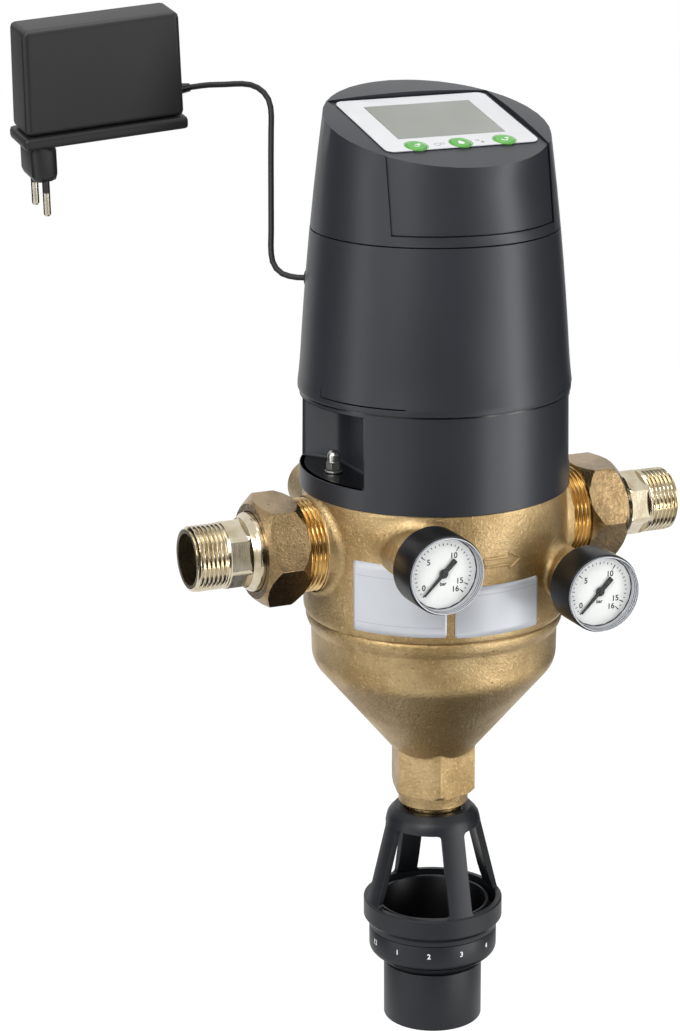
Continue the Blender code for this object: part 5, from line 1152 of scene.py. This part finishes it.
def funnel_shell(look):
    """The funnel in one moulding, with four windows between legs of one width.

    A leg's edges lie at the angle asin(w / 2 / r(z)) on both sides of its middle. At the window's
    head and foot the legs widen by f (1 - sqrt(1 - (1 - d / f)^2)), so the corners are round.
    """
    top, foot, fillet = COLLAR_LOW - 0.2, FUNNEL_RING_TOP + 0.1, 2.2
    steps = fillet * np.array([0, 0.06, 0.2, 0.45, 0.75, 1.0])
    heights = np.unique(np.round(np.concatenate([
        [h for h, _ in COLLAR], top - steps, foot + steps, np.linspace(top, foot, 9),
        [FUNNEL_RING_TOP, FUNNEL_RING_TOP - 0.6, FUNNEL_RING_CHAMFER, FUNNEL_RING_STEP + 0.4,
         FUNNEL_RING_STEP, FUNNEL_RING_BOTTOM]]),
        4))[::-1]
    away = np.minimum(np.abs(heights - top), np.abs(heights - foot))
    away = np.where((heights <= top) & (heights >= foot), away, 0)
    swell = fillet * (1 - np.sqrt(1 - np.clip(1 - away / fillet, 0, 1) ** 2))
    half = np.degrees(np.arcsin((LEG_WIDTH / 2 + swell) / funnel_radius(heights)))[:, None]
    columns, open_columns = [], []
    for leg in (0, 90, 180, 270):
        across = np.linspace(-1, 1, 7)[None, :]
        between = np.linspace(0, 1, 14)[None, 1:-1]
        columns += [leg + half * across, leg + half + (90 - 2 * half) * between]
        open_columns += [False] * 6 + [True] * 13
    angles = np.hstack(columns)
    middle = (heights[1:] + heights[:-1]) / 2
    window = (middle < top) & (middle > foot)
    there = ~(window[:, None] & np.array(open_columns)[None, :])
    wall = np.interp(heights, [FUNNEL_RING_TOP, FUNNEL_RING_TOP + 8], [2.6, LEG_THICKNESS])
    shell = shell_mesh("funnel_moulding", angles, heights, funnel_radius(heights)[:, None],
                       (funnel_radius(heights) - wall)[:, None], there, "funnel_black",
                       "anthracite", look.moulded_edge / MM)
    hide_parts("drain_funnel")
    turned("drain_nipple", [(DRAIN_BORE_RADIUS, SPIGOT_BOTTOM + 0.5), (15.0, SPIGOT_BOTTOM + 0.5),
                            (15.0, -157.4), (14.2, -158.2), (DRAIN_BORE_RADIUS, -158.2)],
           "neck_brass", slot="cast_brass")
    turned("funnel_collar_lip", filleted([
        (18.6, COLLAR_TOP - 0.1), (20.4, COLLAR_TOP - 0.2), (20.6, COLLAR_TOP - 3),
        (15.6, COLLAR_TOP - 5), (15.6, COLLAR_TOP - 1.4)], 0.5), "funnel_black", steps=80,
        slot="anthracite")


def bowl_round(radius, angles):
    """Points of the bowl's rounded foot: r = R - f + f cos a, z = turn - f sin a."""
    return [(radius - BOWL_FOLD + BOWL_FOLD * cos(a), BOWL_TURN - BOWL_FOLD * sin(a))
            for a in angles]


def drain_tube():
    """The bowl with its rounded foot, and the tube round it with its own rim."""
    neck = 30.0
    rounding = bowl_round(MONTH_RING_RADIUS - 0.1, range(0, 49, 8))
    inside = [(21.0 + 7.0 * cos(a), BOWL_TURN - 0.4 - 9.0 * sin(a)) for a in range(90, -1, -10)]
    low = BOWL_TURN - 12.6
    # The bowl's wall is painted near black on its inner side: painted shade.
    bowl = turned("bowl_moulding", [
        (28.0, FUNNEL_RING_TOP - 2.4), (28.5, FUNNEL_RING_TOP - 1.7), (29.4, FUNNEL_RING_TOP - 1.6),
        (29.9, FUNNEL_RING_TOP - 2.2), (neck, FUNNEL_RING_BOTTOM), (neck, BOWL_TURN - 2.6),
        *[point for point in rounding if point[1] < BOWL_TURN - 2.6],
        (28.2, BOWL_TURN - 6.9), (27.6, BOWL_TURN - 7.3), (22.0, low), (20.4, low - 4.0),
        (19.0, low - 4.0), *inside], "bowl_black", steps=96, slot="anthracite")
    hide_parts("drain_bowl")
    turned("outlet_tube", filleted([
        (TUBE_RADIUS, TUBE_RIM), (TUBE_RADIUS, TUBE_END), (TUBE_BORE, TUBE_END),
        (TUBE_BORE, low - 5.0), (20.6, low - 4.2), (20.6, low - 2.6), (24.4, low - 3.4),
        (24.4, TUBE_RIM)], 0.4), "funnel_black", steps=96, slot="anthracite")
    low, high = span("month_ring", 2)
    ring = turned("month_ring_moulding", filleted([
        (31.0, high), (MONTH_RING_RADIUS, high), (MONTH_RING_RADIUS, BOWL_TURN + 0.2),
        *bowl_round(MONTH_RING_RADIUS, (8, 16, 24, 30)), (31.0, low + 0.02)], 0.12, 2),
        "funnel_black", steps=96, body="reminder_ring", slot="anthracite")
    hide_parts("month_ring")


def build_drain(look):
    funnel_shell(look)
    drain_tube()
    level, radius = BOWL_TURN + 5.3, MONTH_RING_RADIUS + 0.03
    figures = []
    for month in range(12):
        angle = -58.6 + month * 30.0
        out = Vector((sin(angle), -cos(angle), 0))
        place = (Matrix.Translation((out * radius + Vector((0, 0, level))) * MM)
                 @ Matrix.Rotation(math.radians(angle), 4, "Z")
                 @ Matrix.Rotation(math.radians(90), 4, "X"))
        figures.append(flat_text(f"month_{month + 1}", str(month + 1), 2.9, place, "print_white",
                                 "reminder_ring", bold=0.05))
    join_pieces("month_figures", figures)
    for node in ("inlet_port_plug", "outlet_port_plug"):
        dress(node, "nickel_brass", 0.4)


# Power supply and cord
def node_points(name):
    """A solid's vertices in millimetres."""
    return np.array([v.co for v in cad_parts[name].data.vertices]) / MM


def relief_axis():
    """The relief's long axis, the first principal axis of its vertices, away from the adapter."""
    points = node_points("adapter_relief")
    axis = Vector(np.linalg.svd(points - points.mean(axis=0))[2][0])
    return axis if axis.x > 0 else -axis


def cord_ends():
    """The ends of the free cord and their directions, at the grommet's face and the relief's tip."""
    cord = node_points("power_cord")
    low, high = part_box("cord_grommet")
    out = Vector((low.x + high.x, low.y + high.y, 0)).normalized()
    along = cord @ np.array(out)
    start = Vector(cord[along < along.min() + 0.4].mean(axis=0))
    axis = relief_axis()
    reach = cord @ np.array(axis)
    upper = cord[:, 2] > ADAPTER_LEVEL
    end = Vector(cord[(reach < reach[upper].min() + 0.3) & upper].mean(axis=0))
    return start, end, out, axis


def smooth_points(points, step):
    """Points along a centripetal curve through the route's points, about a step apart."""
    points = [Vector(point) for point in points]
    ends = [2 * points[0] - points[1], *points, 2 * points[-1] - points[-2]]
    dense = []
    for a, b, c, d in zip(ends, ends[1:], ends[2:], ends[3:]):
        t0 = 0.0
        t1 = t0 + (b - a).length ** 0.5
        t2 = t1 + (c - b).length ** 0.5
        t3 = t2 + (d - c).length ** 0.5
        for i in range(16):
            t = t1 + (t2 - t1) * i / 16
            ab = a * ((t1 - t) / (t1 - t0)) + b * ((t - t0) / (t1 - t0))
            bc = b * ((t2 - t) / (t2 - t1)) + c * ((t - t1) / (t2 - t1))
            cd = c * ((t3 - t) / (t3 - t2)) + d * ((t - t2) / (t3 - t2))
            left = ab * ((t2 - t) / (t2 - t0)) + bc * ((t - t0) / (t2 - t0))
            right = bc * ((t3 - t) / (t3 - t1)) + cd * ((t - t1) / (t3 - t1))
            dense.append(left * ((t2 - t) / (t2 - t1)) + right * ((t - t1) / (t2 - t1)))
    dense.append(points[-1])
    spaced = [dense[0]]
    for point in dense[1:-1]:
        if (point - spaced[-1]).length >= step and (point - dense[-1]).length > step / 2:
            spaced.append(point)
    return spaced + [dense[-1]]


def build_cord():
    start, end, out, axis = cord_ends()
    route = [start, start + out * 5, *CORD_POINTS, end + axis * 9, end + axis * 4, end]
    points = smooth_points(route, 4.0)
    curve = bpy.data.curves.new("free_cord", "CURVE")
    curve.dimensions = "3D"
    curve.bevel_depth = CORD_RADIUS * MM
    curve.bevel_resolution = 6
    curve.use_fill_caps = True
    spline = curve.splines.new("POLY")
    spline.points.add(len(points) - 1)
    for point, place in zip(spline.points, points):
        point.co = (*(place * MM), 1)
    curve.materials.append(finish("rubber"))
    cord = bpy.data.objects.new("free_cord", curve)
    PIECES.objects.link(cord)
    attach(cord, FILTER)
    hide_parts("power_cord")
    dress("adapter_relief", "black_plastic", 0.2)
    dress("adapter_housing", "adapter_black", 0.0)
    dress("adapter_base", "adapter_black", 0.0)
    dress("front_plug_pin", "pin_nickel", 0.2)
    dress("rear_plug_pin", "pin_nickel", 0.2)
    dress("cord_grommet", "rubber", 0.3)


def build_inside():
    """Materials of the hidden works, which show only through openings and in parts lists."""
    for node, material in (
            ("bonnet", "cast_brass"), ("bonnet_seal", "rubber"), ("spindle_bush", "ivory_plastic"),
            ("screen_cage", "ivory_plastic"), ("screen_mesh", "steel"),
            ("suction_tube", "ivory_plastic"), ("rotor_shaft", "steel"),
            ("valve_disc", "ivory_plastic"), ("valve_seat", "steel"), ("drive_frame", "steel"),
            ("gear_motor", "steel"), ("drive_wheel", "ivory_plastic"), ("motor_pinion", "steel")):
        dress(node, material)


# Stage
CAMERA_PLACE = (-0.61364, -1.29141, 0.42202)
CAMERA_FORWARD = (0.382636, 0.880740, -0.279082)
CAMERA_UP = (0.116605, 0.253617, 0.960251)
CAMERA_FOCUS_PIXELS = 2900.1
FRAME_HEIGHT = 1031
SENSOR = 36.0


def make_camera():
    forward, up = Vector(CAMERA_FORWARD).normalized(), Vector(CAMERA_UP)
    right = forward.cross(up).normalized()
    up = right.cross(forward)
    matrix = Matrix((right, up, -forward)).transposed().to_4x4()
    matrix.translation = CAMERA_PLACE
    data = bpy.data.cameras.new("photo_camera")
    data.sensor_fit = "VERTICAL"
    data.sensor_height = SENSOR
    data.sensor_width = SENSOR
    data.lens = CAMERA_FOCUS_PIXELS * SENSOR / FRAME_HEIGHT
    data.clip_start, data.clip_end = 0.05, 50
    camera = bpy.data.objects.new("photo_camera", data)
    camera.matrix_world = matrix
    bpy.context.scene.collection.objects.link(camera)
    bpy.context.scene.camera = camera


def area_light(name, place, target, size, power, colour=(1, 1, 1)):
    data = bpy.data.lights.new(name, "AREA")
    data.shape = "RECTANGLE"
    data.size, data.size_y = size
    data.energy = power
    data.color = colour
    lamp = bpy.data.objects.new(name, data)
    lamp.location = place
    lamp.rotation_mode = "QUATERNION"
    lamp.rotation_quaternion = (Vector(target) - Vector(place)).to_track_quat("-Z", "Y")
    bpy.context.scene.collection.objects.link(lamp)
    return lamp


def seen_rays(tree):
    """1 for camera, glossy and transmission rays, which see the white background."""
    rays = tree.nodes.new("ShaderNodeLightPath")
    total = rays.outputs["Is Camera Ray"]
    for name in ("Is Glossy Ray", "Is Transmission Ray"):
        step = tree.nodes.new("ShaderNodeMath")
        step.operation = "MAXIMUM"
        tree.links.new(total, step.inputs[0])
        tree.links.new(rays.outputs[name], step.inputs[1])
        total = step.outputs[0]
    return total


def make_world(strength):
    world = bpy.data.worlds.new("studio")
    world.use_nodes = True
    tree = world.node_tree
    back = tree.nodes["Background"]
    back.inputs["Color"].default_value = (1, 1, 1, 1)
    level = tree.nodes.new("ShaderNodeMapRange")
    level.inputs["To Min"].default_value = strength
    level.inputs["To Max"].default_value = 1.0
    tree.links.new(seen_rays(tree), level.inputs["Value"])
    tree.links.new(level.outputs["Result"], back.inputs["Strength"])
    bpy.context.scene.world = world


def make_floor(level):
    """A pale floor well below the filter, which hangs on its pipe."""
    material = bpy.data.materials.new("pale_floor")
    material.use_nodes = True
    tree = material.node_tree
    shader = tree.nodes["Principled BSDF"]
    shader.inputs["Base Color"].default_value = (0.9, 0.9, 0.9, 1)
    shader.inputs["Roughness"].default_value = 0.9
    glow = tree.nodes.new("ShaderNodeEmission")
    glow.inputs["Color"].default_value = (1, 1, 1, 1)
    glow.inputs["Strength"].default_value = 1.1
    mix = tree.nodes.new("ShaderNodeMixShader")
    share = tree.nodes.new("ShaderNodeMath")
    share.operation = "MULTIPLY"
    share.inputs[1].default_value = 0.86
    tree.links.new(seen_rays(tree), share.inputs[0])
    tree.links.new(share.outputs[0], mix.inputs["Fac"])
    tree.links.new(shader.outputs[0], mix.inputs[1])
    tree.links.new(glow.outputs[0], mix.inputs[2])
    tree.links.new(mix.outputs[0], tree.nodes["Material Output"].inputs["Surface"])
    mesh = bpy.data.meshes.new("floor")
    half = 6.0
    mesh.from_pydata([(-half, -half, level), (half, -half, level), (half, half, level),
                      (-half, half, level)], [], [(0, 1, 2, 3)])
    mesh.materials.append(material)
    floor = bpy.data.objects.new("floor", mesh)
    bpy.context.scene.collection.objects.link(floor)


def flag_of(name, points, faces):
    """A dark panel that only reflections see, as studio flags are."""
    mesh = bpy.data.meshes.new(name)
    mesh.from_pydata(points, [], faces)
    material = bpy.data.materials.new(name)
    material.use_nodes = True
    shader = material.node_tree.nodes["Principled BSDF"]
    shader.inputs["Base Color"].default_value = (0.01, 0.01, 0.01, 1)
    shader.inputs["Specular IOR Level"].default_value = 0
    mesh.materials.append(material)
    flag = bpy.data.objects.new(name, mesh)
    flag.visible_camera = False
    flag.visible_diffuse = False
    flag.visible_transmission = False
    flag.visible_shadow = False
    bpy.context.scene.collection.objects.link(flag)


def dark_flag(name, azimuth, width, low, high, reach=1.2):
    """An upright flag round the filter, as an arc of a cylinder."""
    columns = 9
    turn = np.radians(np.linspace(azimuth - width / 2, azimuth + width / 2, columns))
    points = [(reach * math.sin(t), -reach * math.cos(t), z) for z in (low, high) for t in turn]
    flag_of(name, points, grid_faces(2, columns, close_columns=False).tolist())


def low_flag(radius):
    """A round flag just above the floor, below the filter."""
    turn = np.radians(np.arange(0, 360, 15))
    points = [(0.1 + radius * math.cos(t), radius * math.sin(t), -0.6) for t in turn]
    flag_of("low_flag", points, [list(range(len(points)))])


def build_stage(look):
    make_camera()
    make_world(look.world_level)
    make_floor(-0.62)
    aim = (0, 0, 0.0)
    area_light("key_softbox", (-1.5, -1.3, 1.3), aim, (1.0, 1.4), look.key_power)
    area_light("right_softbox", (1.12, -1.1, 0.0), aim, (0.42, 1.7), look.right_power)
    area_light("left_softbox", (-1.6, 0.1, 0.2), aim, (0.3, 1.5), look.left_power)
    area_light("top_softbox", (0.1, 0.1, 1.9), aim, (1.4, 1.0), look.top_power)
    area_light("front_card", (0.62, -1.42, -0.42), aim, (0.22, 0.5), look.front_power)
    low_flag(0.34)
    dark_flag("front_flag", -15, 62, -0.75, 0.5)
    dark_flag("right_flag", 94, 70, -0.75, 0.6)
    dark_flag("left_flag", -128, 56, -0.75, 0.6)
    scene = bpy.context.scene
    scene.view_settings.view_transform = "Standard"


# Add-on
def colour_setting(name, description, colour):
    """A colour property whose default is given as values of 0 to 255."""
    return bpy.props.FloatVectorProperty(
        name=name, description=description, default=[c / 255 for c in colour], min=0.0, max=1.0,
        size=3, subtype="COLOR_GAMMA")


class FilterLook(bpy.types.PropertyGroup):
    """Colours and sizes of the looks, and levels of the studio."""

    brass_colour: colour_setting("Brass", "Colour of the cast body", (190, 165, 122))
    hood_colour: colour_setting("Hood", "Colour of the hood, skirt and head", (36, 38, 43))
    key_colour: colour_setting("Keys", "Colour of the keys", (84, 160, 62))
    thread_pitch: bpy.props.FloatProperty(
        name="Thread pitch", description="Pitch of the pipe threads", default=2.309 * MM,
        min=0.5 * MM, max=6 * MM, unit="LENGTH", precision=5)
    moulded_edge: bpy.props.FloatProperty(
        name="Moulded edge", description="Width of the soft edges of plastic parts",
        default=0.4 * MM, min=0.0, max=2 * MM, unit="LENGTH", precision=5)
    world_level: bpy.props.FloatProperty(
        name="World level", description="Strength of the even light from all sides",
        default=0.34, min=0.0, max=2.0)
    key_power: bpy.props.FloatProperty(
        name="Key light", description="Power of the large light at the left", default=42.0,
        min=0.0, subtype="POWER")
    right_power: bpy.props.FloatProperty(
        name="Right light", description="Power of the strip light at the right", default=16.5,
        min=0.0, subtype="POWER")
    front_power: bpy.props.FloatProperty(
        name="Front card", description="Power of the small card at the front", default=3.4, min=0.0,
        subtype="POWER")
    left_power: bpy.props.FloatProperty(
        name="Left light", description="Power of the strip light at the left", default=5.0,
        min=0.0, subtype="POWER")
    top_power: bpy.props.FloatProperty(
        name="Top light", description="Power of the light above", default=16.0, min=0.0,
        subtype="POWER")


class FILTER_LOOK_OT_stage(bpy.types.Operator):
    """Adds the camera, floor, world and lights"""

    bl_idname = "filter_look.stage"
    bl_label = "Stage"

    def execute(self, context):
        build_stage(context.scene.filter_look)
        return {"FINISHED"}


class FILTER_LOOK_OT_cord(bpy.types.Operator):
    """Lays the cord and dresses the power supply"""

    bl_idname = "filter_look.cord"
    bl_label = "Cord"

    def execute(self, context):
        build_cord()
        return {"FINISHED"}


class FILTER_LOOK_OT_body(bpy.types.Operator):
    """Builds the cast body with its necks and bosses"""

    bl_idname = "filter_look.body"
    bl_label = "Body"

    def execute(self, context):
        build_body(context.scene.filter_look)
        return {"FINISHED"}


class FILTER_LOOK_OT_labels(bpy.types.Operator):
    """Lays the bare labels on the body"""

    bl_idname = "filter_look.labels"
    bl_label = "Labels"

    def execute(self, context):
        build_labels()
        return {"FINISHED"}


class FILTER_LOOK_OT_unions(bpy.types.Operator):
    """Builds the threaded tails and dresses the nuts"""

    bl_idname = "filter_look.unions"
    bl_label = "Unions"

    def execute(self, context):
        build_unions(context.scene.filter_look)
        return {"FINISHED"}


class FILTER_LOOK_OT_hood(bpy.types.Operator):
    """Builds the hood moulding"""

    bl_idname = "filter_look.hood"
    bl_label = "Hood"

    def execute(self, context):
        build_hood(context.scene.filter_look)
        return {"FINISHED"}


class FILTER_LOOK_OT_skirt(bpy.types.Operator):
    """Builds the skirt with its niches"""

    bl_idname = "filter_look.skirt"
    bl_label = "Skirt"

    def execute(self, context):
        build_skirt(context.scene.filter_look)
        return {"FINISHED"}


class FILTER_LOOK_OT_head(bpy.types.Operator):
    """Dresses the control head and the fasteners"""

    bl_idname = "filter_look.head"
    bl_label = "Head"

    def execute(self, context):
        build_head(context.scene.filter_look)
        return {"FINISHED"}


class FILTER_LOOK_OT_panel(bpy.types.Operator):
    """Dresses the foil and keys and adds their print"""

    bl_idname = "filter_look.panel"
    bl_label = "Panel"

    def execute(self, context):
        build_panel()
        return {"FINISHED"}


class FILTER_LOOK_OT_gauges(bpy.types.Operator):
    """Builds the gauges' cases and rings and prints their dials"""

    bl_idname = "filter_look.gauges"
    bl_label = "Gauges"

    def execute(self, context):
        build_gauges()
        return {"FINISHED"}


class FILTER_LOOK_OT_drain(bpy.types.Operator):
    """Builds the funnel, bowl and tube, and the month ring with its figures"""

    bl_idname = "filter_look.drain"
    bl_label = "Drain"

    def execute(self, context):
        build_drain(context.scene.filter_look)
        return {"FINISHED"}


class FILTER_LOOK_OT_inside(bpy.types.Operator):
    """Dresses the hidden works"""

    bl_idname = "filter_look.inside"
    bl_label = "Inside"

    def execute(self, context):
        build_inside()
        return {"FINISHED"}


OPERATORS = (
    FILTER_LOOK_OT_stage,
    FILTER_LOOK_OT_cord,
    FILTER_LOOK_OT_body,
    FILTER_LOOK_OT_labels,
    FILTER_LOOK_OT_unions,
    FILTER_LOOK_OT_hood,
    FILTER_LOOK_OT_skirt,
    FILTER_LOOK_OT_head,
    FILTER_LOOK_OT_panel,
    FILTER_LOOK_OT_gauges,
    FILTER_LOOK_OT_drain,
    FILTER_LOOK_OT_inside,
)


class FILTER_PT_looks(bpy.types.Panel):
    """Lists the builders and settings of the filter's looks."""

    bl_idname = "FILTER_PT_looks"
    bl_label = "Filter looks"
    bl_space_type = "VIEW_3D"
    bl_region_type = "UI"
    bl_category = "Filter"

    def draw(self, context):
        look = context.scene.filter_look
        for name in FilterLook.__annotations__:
            self.layout.prop(look, name)
        for item in OPERATORS:
            self.layout.operator(item.bl_idname)


CLASSES = (FilterLook, *OPERATORS, FILTER_PT_looks)


def register():
    for item in CLASSES:
        bpy.utils.register_class(item)
    bpy.types.Scene.filter_look = bpy.props.PointerProperty(type=FilterLook)


def unregister():
    del bpy.types.Scene.filter_look
    for item in reversed(CLASSES):
        bpy.utils.unregister_class(item)


def main():
    for group in (PIECES, HELPERS):
        bpy.context.scene.collection.children.link(group)
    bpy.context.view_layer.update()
    register()
    bpy.ops.filter_look.stage()
    bpy.ops.filter_look.cord()
    bpy.ops.filter_look.body()
    bpy.ops.filter_look.labels()
    bpy.ops.filter_look.unions()
    bpy.ops.filter_look.hood()
    bpy.ops.filter_look.skirt()
    bpy.ops.filter_look.head()
    bpy.ops.filter_look.panel()
    bpy.ops.filter_look.gauges()
    bpy.ops.filter_look.drain()
    bpy.ops.filter_look.inside()


if __name__ == "__main__":
    main()
